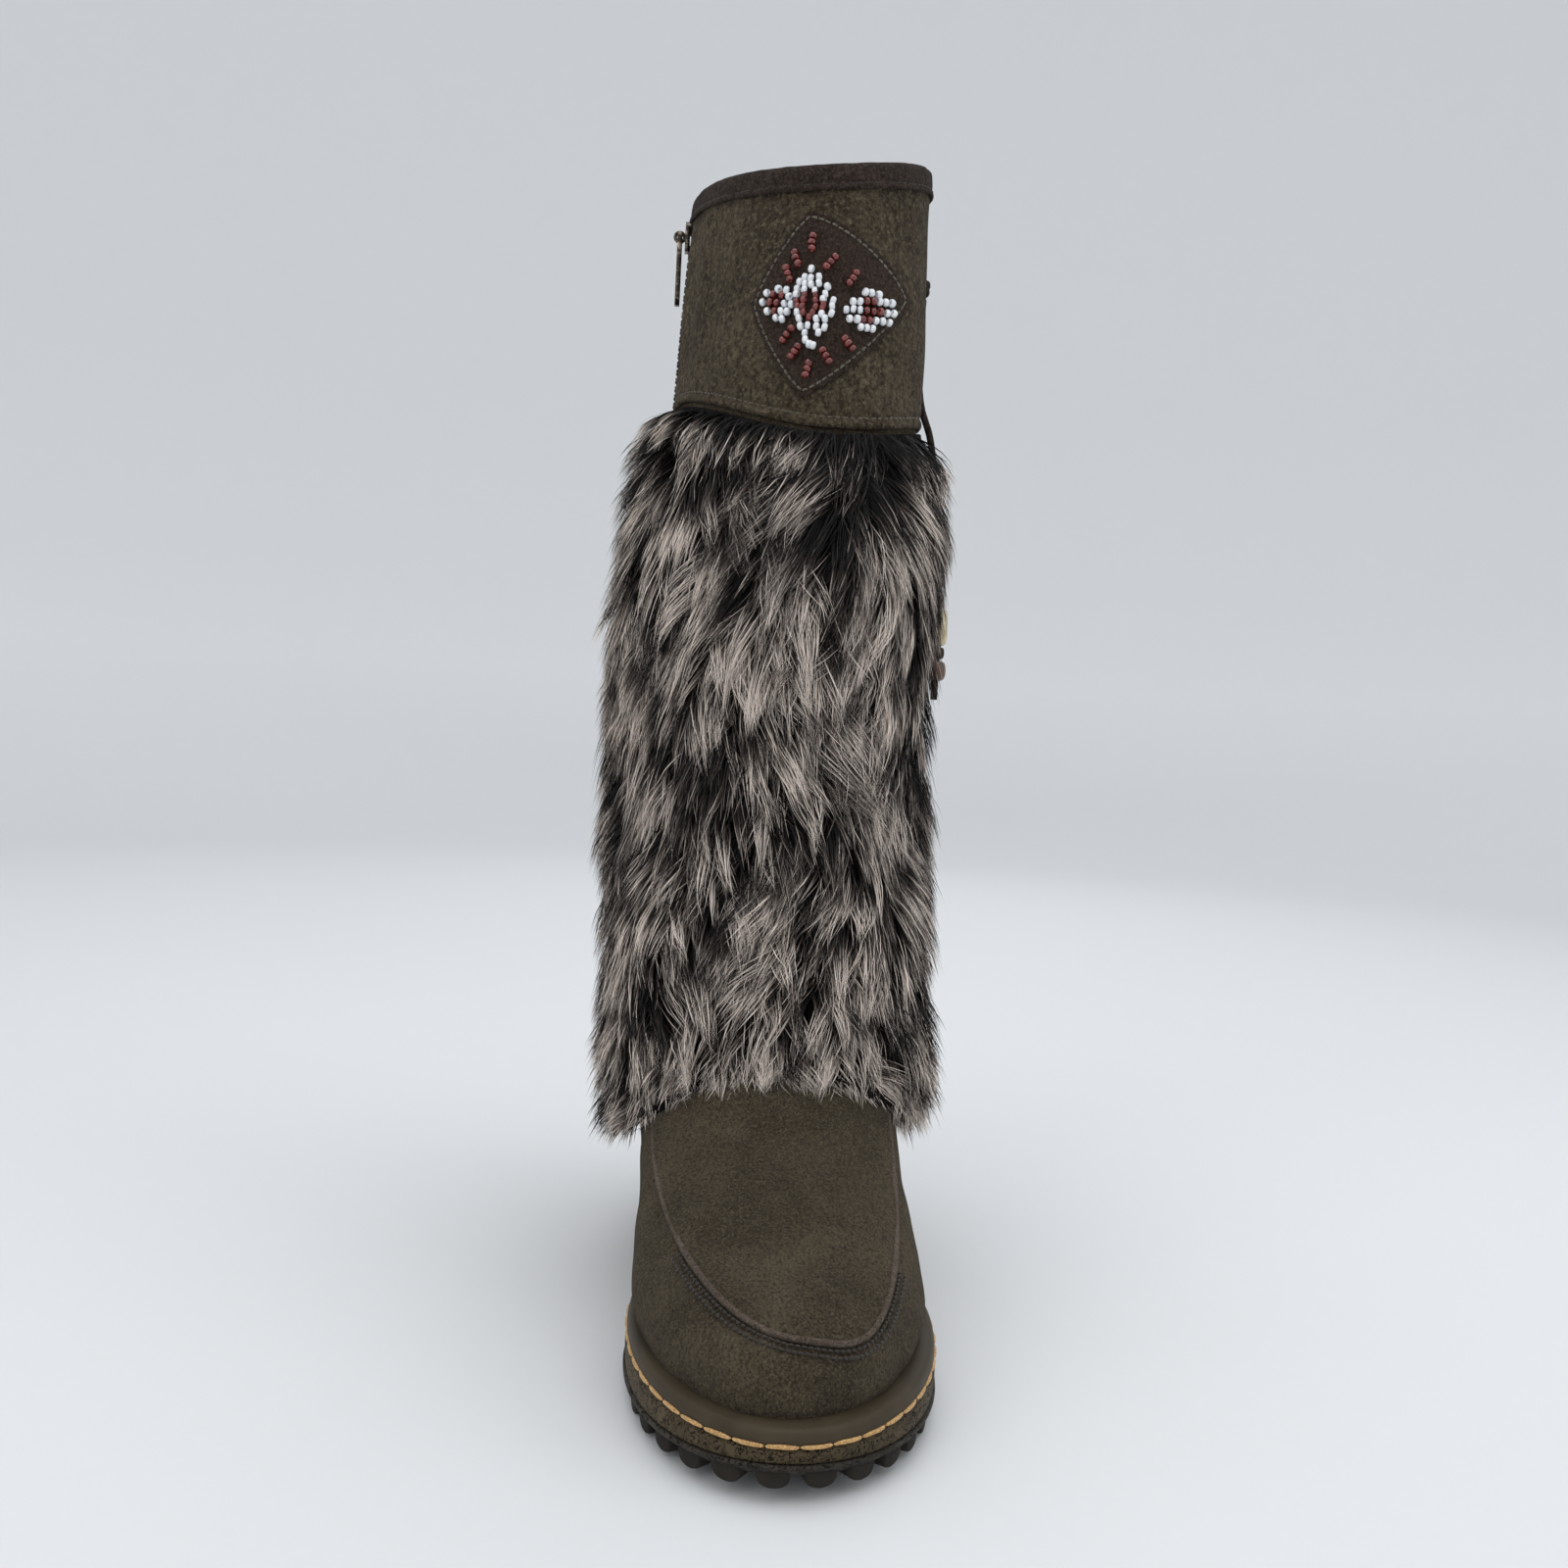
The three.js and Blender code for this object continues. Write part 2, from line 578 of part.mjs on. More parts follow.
function makePlugRidge() {
  const place = (turn) => {
    const share = Math.sin(turn) ** PLUG.squareness;
    const across = Math.sign(Math.cos(turn)) * Math.abs(Math.cos(turn)) ** PLUG.fullness;
    const x = PLUG.lean * share * share + PLUG.halfWidth * across;
    const { angle, level } = surfaceAbove(x, mix(PLUG.start, PLUG.front, share));
    return { point: barePoint(angle, level), out: upperNormal(angle, level) };
  };
  const { width, rise, root } = RIDGE;
  const section = [[-0.5, root], [0.5, root], [0.5, 0.5], [0, 1], [-0.5, 0.5]];
  const rings = steps(PLUG.steps).map((u) => {
    const turn = mix(PLUG.open, Math.PI - PLUG.open, u);
    const { point, out } = place(turn);
    const way = place(turn + 0.01).point.sub(place(turn - 0.01).point);
    const side = new THREE.Vector3().crossVectors(out, way).normalize();
    return section.map(([across, over]) => {
      const height = over < 0 ? over : over * rise;
      return point.clone().addScaledVector(side, across * width).addScaledVector(out, height);
    });
  });
  return toGeometry(toSolid(loft(rings, false)).subtract(upperForm(GAP)));
}

// The patch on the cuff: a diamond with rounded corners and full sides. Places on it are given as seen
// from the front, across and up from the middle of its beads.
const PATCH = {
  x: 0,
  z: 375.4,
  left: 19.7,
  right: 40.2,
  top: 31.2,
  bottom: 37,
  skew: 0.085,
  fullness: 1.25,
  thickness: 1,
  points: 36,
};
const PATCH_INSIDE = CUFF_THICKNESS + 2 * GAP + 0.1;

// The upper's form along the cuff alone
const cuffForm = (offset) =>
  toSolid(loft(steps(8).map((u) => upperRing(mix(TOP_LEVEL - 3, TOP_LEVEL, u), offset)), false));

function makePatch() {
  const { left, right, top, bottom, skew, fullness, points } = PATCH;
  const reach = (value) => Math.abs(value) ** (2 / fullness);
  const corners = angles(points).map((turn) => {
    const [c, s] = [Math.cos(turn), Math.sin(turn)];
    const across = (c > 0 ? right : -left) * reach(c);
    const over = (s > 0 ? top : -bottom) * reach(s);
    return new THREE.Vector2(across, over + skew * across);
  });
  const diamond = new THREE.ExtrudeGeometry(new THREE.Shape(corners), { depth: 90, bevelEnabled: false });
  diamond.rotateX(Math.PI / 2);
  diamond.translate(PATCH.x, -25, PATCH.z);
  const skin = cuffForm(PATCH_INSIDE + PATCH.thickness).subtract(cuffForm(PATCH_INSIDE));
  return toGeometry(skin.intersect(toSolid(diamond)));
}

// Beads of the patch, charted by rows from the top: w is a white bead and r a red one. Each cluster has
// the place of its chart's middle, and each ray is three red beads in a line.
const BEAD = { pitch: 2.6, depth: 2.2, seat: PATCH_INSIDE + PATCH.thickness + 1.7 };
const CLUSTERS = {
  middle: {
    x: 2.2,
    z: -5.4,
    rows: [
      "...w..",
      "..www.",
      ".wwwww",
      ".wwwww",
      ".wr.rww",
      ".rr.rrw",
      ".wrrrww",
      "..wrww",
      "..w.ww",
      "..w.w",
      "..w",
      "..ww",
    ],
  },
  inner: { x: -10.9, z: -3.1, rows: ["..ww", ".wrw", "wrrww", ".wrw", ".ww"] },
  outer: { x: 23.4, z: -4.4, rows: ["..www", ".wwrrww", "wwrrrwww", ".wwrrww", "..www"] },
};
const RAYS = [
  { x: 0.9, z: 19.2, tilt: 89 }, { x: -4.1, z: 13.9, tilt: 103 }, { x: -7.4, z: 8.8, tilt: 107 },
  { x: 7.9, z: 12.6, tilt: 53 }, { x: 16, z: 6.8, tilt: 60 }, { x: -6.6, z: -14.4, tilt: 57 },
  { x: -3.7, z: -20.7, tilt: 57 }, { x: 15.7, z: -16.6, tilt: 134 }, { x: 7.6, z: -21.9, tilt: 120 },
  { x: 1.1, z: -27, tilt: 78 },
];

// A place on the front of the cuff, seen from the front, as a point of the surface and its outward
// direction
function cuffFront(x, z, offset) {
  let [outer, inner] = [Math.PI / 2, (3 * Math.PI) / 2];
  for (let i = 0; i < 30; i++) {
    const middle = (outer + inner) / 2;
    if (upperPoint(middle, levelAtHeight(middle, z), offset).x > x) outer = middle;
    else inner = middle;
  }
  return upperPoint(outer, levelAtHeight(outer, z), offset);
}

// A run of beads side by side in a row of the chart, as one bar across the patch
function beadRun(from, to, z) {
  const [start, end] = [from, to].map((x) => cuffFront(PATCH.x + x, PATCH.z + z, BEAD.seat));
  const bar = new THREE.BoxGeometry(to - from + BEAD.pitch, BEAD.depth, BEAD.pitch + 0.1);
  bar.rotateZ(from === to ? 0 : Math.atan2(end.y - start.y, end.x - start.x));
  const middle = cuffFront(PATCH.x + (from + to) / 2, PATCH.z + z, BEAD.seat);
  bar.translate(middle.x, middle.y, middle.z);
  return toSolid(bar);
}

function makeCluster({ x, z, rows }) {
  const width = Math.max(...rows.map((row) => row.length));
  const place = (column) => x + (column - (width - 1) / 2) * BEAD.pitch;
  const runs = rows.flatMap((row, down) =>
    [...row.matchAll(/[wr]+/g)].map((run) => {
      const height = z + ((rows.length - 1) / 2 - down) * BEAD.pitch;
      return beadRun(place(run.index), place(run.index + run[0].length - 1), height);
    }),
  );
  return toGeometry(runs.reduce((all, run) => all.add(run)));
}

function makeRay({ x, z, tilt }) {
  const ray = new THREE.OctahedronGeometry(1);
  ray.scale(1.9 * BEAD.pitch, BEAD.depth / 2, BEAD.pitch * 0.6);
  ray.rotateY((-tilt * Math.PI) / 180);
  const point = cuffFront(PATCH.x + x, PATCH.z + z, BEAD.seat - 0.6);
  ray.translate(point.x, point.y, point.z);
  return toGeometry(toSolid(ray));
}

// The zip's tape lies in the slit from the collar to the ankle
function makeZipTape() {
  const levels = [ZIP.bottomLevel, ...UPPER_LEVELS.filter((level) => level > ZIP.bottomLevel)];
  const low = GAP + 0.3;
  const high = low + ZIP.thickness;
  const section = [[-1, low], [0, low], [1, low], [1, high], [0, high], [-1, high]];
  const rings = levels.map((level) =>
    section.map(([across, over]) => upperPoint(besideZip(level, (across * ZIP.tape) / 2), level, over)),
  );
  return loft(rings, false);
}

// The slider and its pull. Their own frame has X across the tape, Y up it and Z out of it.
const SLIDER = {
  z: 417,
  width: 8,
  length: 12,
  thickness: 1.9,
  bailWidth: 1.6,
  bailHole: 1.3,
  bailRadius: 2.6,
};
const PULL = { pin: 0.9, arm: 1.6, width: 6.4, forkLength: 8, length: 28, thickness: 2 };
const SLIDER_SEAT = 3 * GAP + 0.3 + ZIP.thickness;
const PIVOT_HEIGHT = SLIDER.thickness + 2.2;

// The frame of the zip at the slider's place, with its out direction level and square to the pull's pin
function zipFrame() {
  const level = levelAtHeight(ZIP.angle, SLIDER.z);
  const normal = upperNormal(ZIP.angle, level);
  const out = new THREE.Vector3(normal.x, normal.y, 0).normalize();
  const up = new THREE.Vector3(0, 0, 1);
  const across = new THREE.Vector3().crossVectors(up, out);
  const origin = upperPoint(ZIP.angle, level, SLIDER_SEAT);
  return new THREE.Matrix4().makeBasis(across, up, out).setPosition(origin);
}

const extruded = (shape, depth) =>
  new THREE.ExtrudeGeometry(shape, { depth, bevelEnabled: false, curveSegments: 6 });

function makeSlider() {
  const { width, length, thickness, bailWidth, bailHole, bailRadius } = SLIDER;
  const plan = new THREE.Shape([
    new THREE.Vector2(-width / 2, length * 0.3),
    new THREE.Vector2(-width * 0.32, -length / 2),
    new THREE.Vector2(width * 0.32, -length / 2),
    new THREE.Vector2(width / 2, length * 0.3),
    new THREE.Vector2(width * 0.25, length / 2),
    new THREE.Vector2(-width * 0.25, length / 2),
  ]);
  const body = extruded(plan, thickness);
  const arch = new THREE.Shape().absarc(0, 0, bailRadius, 0, 2 * Math.PI);
  arch.holes.push(new THREE.Path().absarc(0, 0, bailHole, 0, 2 * Math.PI, true));
  const bail = extruded(arch, bailWidth);
  bail.rotateY(Math.PI / 2);
  bail.translate(-bailWidth / 2, 0, PIVOT_HEIGHT);
  const hole = extruded(new THREE.Shape().absarc(0, 0, bailHole, 0, 2 * Math.PI), width);
  hole.rotateY(Math.PI / 2);
  hole.translate(-width / 2, 0, PIVOT_HEIGHT);
  const solid = toSolid(body).add(toSolid(bail)).subtract(toSolid(hole));
  return toGeometry(solid);
}

function makePull() {
  const { pin, arm, width, forkLength, length, thickness } = PULL;
  const slot = SLIDER.bailWidth + 2 * GAP;
  const plan = new THREE.Shape([
    new THREE.Vector2(-slot / 2 - arm, pin + 0.7),
    new THREE.Vector2(-width / 2, -forkLength),
    new THREE.Vector2(-width / 2, 2 - length),
    new THREE.Vector2(-width / 2 + 2, -length),
    new THREE.Vector2(width / 2 - 2, -length),
    new THREE.Vector2(width / 2, 2 - length),
    new THREE.Vector2(width / 2, -forkLength),
    new THREE.Vector2(slot / 2 + arm, pin + 0.7),
    new THREE.Vector2(slot / 2, pin + 0.7),
    new THREE.Vector2(slot / 2, -SLIDER.bailRadius - 1),
    new THREE.Vector2(-slot / 2, -SLIDER.bailRadius - 1),
    new THREE.Vector2(-slot / 2, pin + 0.7),
  ]);
  const tab = extruded(plan, thickness);
  tab.translate(0, 0, PIVOT_HEIGHT - thickness / 2);
  const bar = extruded(new THREE.Shape().absarc(0, 0, pin, 0, 2 * Math.PI), slot + arm);
  bar.rotateY(Math.PI / 2);
  bar.translate(-(slot + arm) / 2, 0, PIVOT_HEIGHT);
  return toGeometry(toSolid(tab).add(toSolid(bar)));
}

// The tie on the outer side: a knot on the cuff, and a cord that hangs from it in a parting of the fur.
// Its route is given by heights and by distances out of the shaft.
const CORD = { radius: 1.5, sides: 8, steps: 24 };
const TIE_KNOT = { z: 400, offset: 5.2, radius: 3.2 };
const TIE_ROUTE = [
  { z: 395.4, out: 5 },
  { z: 382, out: 3.9 },
  { z: 366, out: 3.9 },
  { z: 352, out: 5.6 },
  { z: 340, out: 9.8 },
  { z: 326, out: 12.2 },
  { z: 308, out: 14 },
  { z: 290, out: 16 },
  { z: 275, out: 18 },
  { z: 262, out: 19 },
  { z: 250, out: 19.4 },
  { z: 232, out: 19.5 },
];
const TIE_BEADS = {
  tie_bead_cream: { z: 262, length: 15, radius: 3.9, material: "cream_bead" },
  tie_knot_low: { z: 251.4, length: 4.4, radius: 3.1, material: "binding" },
  tie_bead_brown: { z: 244.4, length: 8, radius: 4.2, material: "brown_bead" },
};

const tieLine = () =>
  new THREE.CatmullRomCurve3(
    TIE_ROUTE.map(({ z, out }) => upperPoint(TIE_ANGLE, levelAtHeight(TIE_ANGLE, z), out).setZ(z)),
  );

function makeTieCord() {
  const round = (turn) => new THREE.Vector2(Math.cos(turn), Math.sin(turn)).multiplyScalar(CORD.radius);
  const outline = new THREE.Shape(angles(CORD.sides).map(round));
  const options = { steps: CORD.steps, extrudePath: tieLine(), bevelEnabled: false };
  return new THREE.ExtrudeGeometry(outline, options);
}

function makeTieKnot() {
  const knot = new THREE.IcosahedronGeometry(TIE_KNOT.radius, 1);
  knot.scale(0.85, 1.1, 1);
  const level = levelAtHeight(TIE_ANGLE, TIE_KNOT.z);
  const point = upperPoint(TIE_ANGLE, level, TIE_KNOT.offset);
  knot.translate(point.x, point.y, TIE_KNOT.z);
  return knot;
}

// A barrel with a bore, threaded on the tie at a height
function makeTieBead({ z, length, radius }) {
  const bore = CORD.radius + GAP + 0.1;
  const profile = [
    new THREE.Vector2(bore, -length / 2),
    new THREE.Vector2(radius * 0.7, -length / 2),
    new THREE.Vector2(radius, -length / 4),
    new THREE.Vector2(radius, length / 4),
    new THREE.Vector2(radius * 0.7, length / 2),
    new THREE.Vector2(bore, length / 2),
    new THREE.Vector2(bore, -length / 2),
  ];
  const barrel = new THREE.LatheGeometry(profile, 8);
  barrel.rotateX(Math.PI / 2);
  const line = tieLine();
  let [low, high] = [0, 1];
  for (let i = 0; i < 30; i++) {
    const middle = (low + high) / 2;
    if (line.getPoint(middle).z > z) low = middle;
    else high = middle;
  }
  const turn = new THREE.Quaternion().setFromUnitVectors(new THREE.Vector3(0, 0, -1), line.getTangent(low));
  barrel.applyQuaternion(turn);
  const point = line.getPoint(low);
  barrel.translate(point.x, point.y, point.z);
  return barrel;
}

const MATERIALS = {
  suede: new THREE.MeshStandardMaterial({ color: 0x4a4033, roughness: 0.95, metalness: 0 }),
  cuff_suede: new THREE.MeshStandardMaterial({ color: 0x584e3e, roughness: 0.9, metalness: 0 }),
  binding: new THREE.MeshStandardMaterial({ color: 0x5a4842, roughness: 0.9, metalness: 0 }),
  fur: new THREE.MeshStandardMaterial({ color: 0x6e6058, roughness: 1, metalness: 0 }),
  welt: new THREE.MeshStandardMaterial({ color: 0x3f352b, roughness: 0.6, metalness: 0 }),
  midsole: new THREE.MeshStandardMaterial({ color: 0x4d4031, roughness: 0.75, metalness: 0 }),
  outsole: new THREE.MeshStandardMaterial({ color: 0x24211f, roughness: 0.7, metalness: 0 }),
  patch: new THREE.MeshStandardMaterial({ color: 0x342c26, roughness: 0.9, metalness: 0 }),
  white_bead: new THREE.MeshStandardMaterial({ color: 0xe4e2de, roughness: 0.2, metalness: 0 }),
  red_bead: new THREE.MeshStandardMaterial({ color: 0x5a2420, roughness: 0.25, metalness: 0 }),
  cream_bead: new THREE.MeshStandardMaterial({ color: 0xcfc3a4, roughness: 0.5, metalness: 0 }),
  brown_bead: new THREE.MeshStandardMaterial({ color: 0x4a3426, roughness: 0.4, metalness: 0 }),
  zip_tape: new THREE.MeshStandardMaterial({ color: 0x2a241f, roughness: 0.9, metalness: 0 }),
  zip_metal: new THREE.MeshStandardMaterial({ color: 0x4a4540, roughness: 0.35, metalness: 0.9 }),
  lining: new THREE.MeshStandardMaterial({ color: 0x5b5148, roughness: 1, metalness: 0 }),
};

const boot = new THREE.Group();
function addPiece(name, geometry, material, frame = new THREE.Matrix4()) {
  const piece = new THREE.Mesh(geometry, MATERIALS[material]);
  piece.name = name;
  piece.applyMatrix4(frame);
  boot.add(piece);
}

addPiece("outsole", makeOutsole(), "outsole");
addPiece("midsole", makeMidsole(), "midsole");
addPiece("welt", makeWelt(), "welt");
addPiece("insole", makeInsole(), "lining");
addPiece("upper", makeUpper(), "suede");
addPiece("cuff", makeCuff(), "cuff_suede");
addPiece("collar_binding", makeBinding(), "binding");
addPiece("fur_sleeve", makeFur(), "fur");
addPiece("plug_ridge", makePlugRidge(), "suede");
addPiece("patch", makePatch(), "patch");
for (const [name, cluster] of Object.entries(CLUSTERS)) {
  addPiece(`beads_${name}`, makeCluster(cluster), "white_bead");
}
RAYS.forEach((ray, i) => addPiece(`beads_ray_${i + 1}`, makeRay(ray), "red_bead"));
addPiece("zip_tape", makeZipTape(), "zip_tape");
addPiece("zip_slider", makeSlider(), "zip_metal", zipFrame());
addPiece("zip_pull", makePull(), "zip_metal", zipFrame());
addPiece("tie_knot", makeTieKnot(), "binding");
addPiece("tie_cord", makeTieCord(), "binding");
for (const [name, bead] of Object.entries(TIE_BEADS)) addPiece(name, makeTieBead(bead), bead.material);

export default boot;
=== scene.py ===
"""Tall left winter boot, dressed for rendering.

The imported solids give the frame. Every visible piece is worked out again here as a fine surface from the same
section table as the solids, in millimetres, with +Z up, the toe along -Y and the outer side of the foot at +X.
"""

import logging
import math
from dataclasses import dataclass, field, replace
from enum import Enum
from typing import Callable, Optional, Sequence

import bpy
import numpy as np
from mathutils import Matrix, Vector


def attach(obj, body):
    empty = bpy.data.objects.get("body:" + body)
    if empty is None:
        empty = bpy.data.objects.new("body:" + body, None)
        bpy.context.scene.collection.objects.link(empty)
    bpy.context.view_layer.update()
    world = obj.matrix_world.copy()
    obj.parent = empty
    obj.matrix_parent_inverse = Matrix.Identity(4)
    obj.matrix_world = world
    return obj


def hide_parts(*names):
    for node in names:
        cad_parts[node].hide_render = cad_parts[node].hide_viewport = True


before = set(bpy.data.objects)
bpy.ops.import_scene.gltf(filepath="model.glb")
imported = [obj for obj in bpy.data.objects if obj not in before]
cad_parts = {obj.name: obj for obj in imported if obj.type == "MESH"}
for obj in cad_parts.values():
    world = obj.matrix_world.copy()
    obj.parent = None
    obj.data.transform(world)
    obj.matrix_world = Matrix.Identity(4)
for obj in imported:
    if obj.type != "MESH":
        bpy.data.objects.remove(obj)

LOG = logging.getLogger("boot")
MM = 0.001
TURN = 2 * math.pi
BODY = "boot"
Array = np.ndarray
Socket = bpy.types.NodeSocket
Piece = bpy.types.Object


# Numbers shared by several pieces, in millimetres

HEEL_TO_ORIGIN = 46.0
WALL = 2.6
GAP = 0.3
OUTSOLE_HEIGHT = 7.6
LUG_HEIGHT = 3.6
ZIP_ANGLE = math.radians(282)
ZIP_HALF_GAP = 5.5
CUFF_THICKNESS = 1.6
TIE_ANGLE = math.pi / 2


def smooth(value: Array | float) -> Array:
    """Returns value clamped to 0..1 and eased at both ends: 3 v squared minus 2 v cubed."""
    v = np.clip(value, 0, 1)
    return v * v * (3 - 2 * v)


def mix(a: Array | float, b: Array | float, t: Array | float) -> Array | float:
    """Returns the value a share t of the way from a to b."""
    return a + (b - a) * t


def unit(vectors: Array) -> Array:
    """Returns the vectors scaled to a length of 1."""
    return vectors / np.maximum(np.linalg.norm(vectors, axis=-1, keepdims=True), 1e-9)


def srgb(red: int, green: int, blue: int) -> tuple[float, float, float, float]:
    """Turns a colour as seen, 0 to 255 a channel, into linear light.

    Args:
        red: Red as seen on a screen.
        green: Green as seen on a screen.
        blue: Blue as seen on a screen.

    Returns:
        The colour's linear red, green and blue, and an alpha of 1.
    """
    seen = np.array([red, green, blue]) / 255
    light = np.where(seen <= 0.04045, seen / 12.92, ((seen + 0.055) / 1.055) ** 2.4)
    return (*map(float, light), 1.0)


def waves(places: Array, size: float, seed: int, count: int = 7) -> Array:
    """Smooth seeded unevenness: the mean of a few sine waves that run in random directions.

    Args:
        places: Points, with their coordinates along the last axis, in millimetres.
        size: Typical distance between two rises, in millimetres.
        seed: Seed of the directions and phases.
        count: Number of waves.

    Returns:
        One value a point, mostly within -1 to 1.
    """
    rng = np.random.default_rng(seed)
    ways = unit(rng.normal(size=(count, places.shape[-1]))) * rng.uniform(0.6, 1.5, (count, 1)) * TURN / size
    phases = rng.uniform(0, TURN, count)
    return np.sin(places @ ways.T + phases).sum(axis=-1) / math.sqrt(count / 2) / 1.4


# Meshes from arrays


def grid_quads(rows: int, columns: int, wrap_rows: bool, wrap_columns: bool) -> Array:
    """Returns the four-cornered faces of a grid of points that is stored row by row.

    Args:
        rows: Number of rows.
        columns: Number of points in a row.
        wrap_rows: Whether the last row joins the first.
        wrap_columns: Whether the last column joins the first.
    """
    r = np.arange(rows if wrap_rows else rows - 1)[:, None]
    c = np.arange(columns if wrap_columns else columns - 1)[None, :]
    nr, nc = (r + 1) % rows, (c + 1) % columns
    corners = [r * columns + c, r * columns + nc, nr * columns + nc, nr * columns + c]
    return np.stack([np.broadcast_to(k, (r.size, c.size)) for k in corners], axis=-1).reshape(-1, 4)


@dataclass
class Shape:
    """Points in millimetres with the faces between them."""

    points: Array
    quads: Array = field(default_factory=lambda: np.zeros((0, 4), int))
    triangles: Array = field(default_factory=lambda: np.zeros((0, 3), int))

    def all_triangles(self) -> Array:
        """Returns every face as triangles."""
        return np.concatenate([self.quads[:, [0, 1, 2]], self.quads[:, [0, 2, 3]], self.triangles])

    def outward(self) -> "Shape":
        """Returns the closed shape with its faces outwards: they are turned round where its volume is negative."""
        a, b, c = (self.points[self.all_triangles()[:, k]] for k in range(3))
        if np.einsum("ij,ij->", a, np.cross(b, c)) < 0:
            return Shape(self.points, self.quads[:, ::-1], self.triangles[:, ::-1])
        return self

    def placed(self, places: Array, frames: Array) -> "Shape":
        """One copy of the shape at each place.

        Args:
            places: Points, n by 3.
            frames: For each copy the directions of the shape's X, Y and Z, n by 3 by 3.

        Returns:
            All copies as one shape: point = place + x X + y Y + z Z.
        """
        points = places[:, None, :] + np.einsum("pk,nkc->npc", self.points, frames)
        steps = (np.arange(len(places)) * len(self.points))[:, None, None]
        return Shape(
            points.reshape(-1, 3),
            (self.quads[None] + steps).reshape(-1, 4),
            (self.triangles[None] + steps).reshape(-1, 3),
        )

    def with_other(self, other: "Shape") -> "Shape":
        """Returns this shape and another as one."""
        start = len(self.points)
        return Shape(
            np.concatenate([self.points, other.points]),
            np.concatenate([self.quads, other.quads + start]),
            np.concatenate([self.triangles, other.triangles + start]),
        )

    def piece(self, name: str) -> Piece:
        """Makes a Blender object of the shape, with smooth faces, at the origin."""
        quads, triangles = self.quads.astype(np.int32), self.triangles.astype(np.int32)
        mesh = bpy.data.meshes.new(name)
        mesh.vertices.add(len(self.points))
        mesh.vertices.foreach_set("co", (self.points * MM).astype(np.float32).ravel())
        mesh.loops.add(quads.size + triangles.size)
        mesh.loops.foreach_set("vertex_index", np.concatenate([quads.ravel(), triangles.ravel()]))
        mesh.polygons.add(len(quads) + len(triangles))
        starts = np.concatenate([np.arange(len(quads)) * 4, quads.size + np.arange(len(triangles)) * 3])
        mesh.polygons.foreach_set("loop_start", starts.astype(np.int32))
        mesh.polygons.foreach_set("use_smooth", np.ones(len(starts), bool))
        mesh.update(calc_edges=True)
        mesh.validate()
        obj = bpy.data.objects.new(name, mesh)
        bpy.context.scene.collection.objects.link(obj)
        return obj


def shell(outer: Array, inner: Array, wrap: bool) -> Shape:
    """A wall between two grids of the same size, closed at its rims.

    Args:
        outer: Points of the outer face, n columns round by m points up, by 3.
        inner: Points of the inner face in the same order.
        wrap: Whether the wall runs all the way round. If not, its two side edges are closed as well.

    Returns:
        The closed wall with its faces outwards.
    """
    columns, rows = outer.shape[:2]
    loop = np.concatenate([outer, inner[:, ::-1]], axis=1)
    quads = [grid_quads(columns, 2 * rows, wrap, True)]
    if not wrap:
        j = np.arange(rows - 1)
        cap = np.stack([j + 1, j, 2 * rows - 1 - j, 2 * rows - 2 - j], axis=-1)
        quads += [cap, cap[:, ::-1] + (columns - 1) * 2 * rows]
    return Shape(loop.reshape(-1, 3), np.concatenate(quads)).outward()


def tube(rings: Array, wrap: bool = False) -> Shape:
    """A skin over closed rings, with a fan at each end unless it joins itself.

    Args:
        rings: n rings of k points, by 3.
        wrap: Whether the last ring joins the first.

    Returns:
        The closed skin with its faces outwards.
    """
    n, k = rings.shape[:2]
    points, quads = rings.reshape(-1, 3), grid_quads(n, k, wrap, True)
    if wrap:
        return Shape(points, quads).outward()
    i = np.arange(k)
    ends = np.stack([rings[0].mean(axis=0), rings[-1].mean(axis=0)])
    first = np.stack([np.full(k, n * k), (i + 1) % k, i], axis=-1)
    last = np.stack([np.full(k, n * k + 1), (n - 1) * k + i, (n - 1) * k + (i + 1) % k], axis=-1)
    return Shape(np.concatenate([points, ends]), quads, np.concatenate([first, last])).outward()


def thread_stitch(length: float, radius: float, bend: float = 0.0) -> Shape:
    """One stitch along X: a capsule of six sides, sunk by a bend towards its two ends."""
    along = np.array([-0.5, -0.42, -0.2, 0.2, 0.42, 0.5]) * length
    size = np.array([0.35, 0.8, 1, 1, 0.8, 0.35]) * radius
    turn = np.arange(6) * TURN / 6
    drop = -bend * (2 * along / length) ** 2
    rings = np.stack(
        [
            np.broadcast_to(along[:, None], (6, 6)),
            size[:, None] * np.cos(turn),
            size[:, None] * np.sin(turn) + drop[:, None],
        ],
        axis=-1,
    )
    return tube(rings)


def along_line(line: Array, pitch: float, closed: bool) -> tuple[Array, Array]:
    """Places at an equal pitch along a line of points.

    Args:
        line: Points of the line, n by 3.
        pitch: Wished distance between places.
        closed: Whether the line returns to its first point.

    Returns:
        The places and the directions of the line there.
    """
    points = np.concatenate([line, line[:1]]) if closed else line
    steps = np.linalg.norm(np.diff(points, axis=0), axis=1)
    run = np.concatenate([[0], np.cumsum(steps)])
    count = max(2, round(run[-1] / pitch))
    at = (np.arange(count) + 0.5) / count * run[-1]
    pick = lambda distance: np.stack([np.interp(distance, run, points[:, k]) for k in range(3)], axis=-1)
    return pick(at), unit(pick(at + 0.3) - pick(at - 0.3))


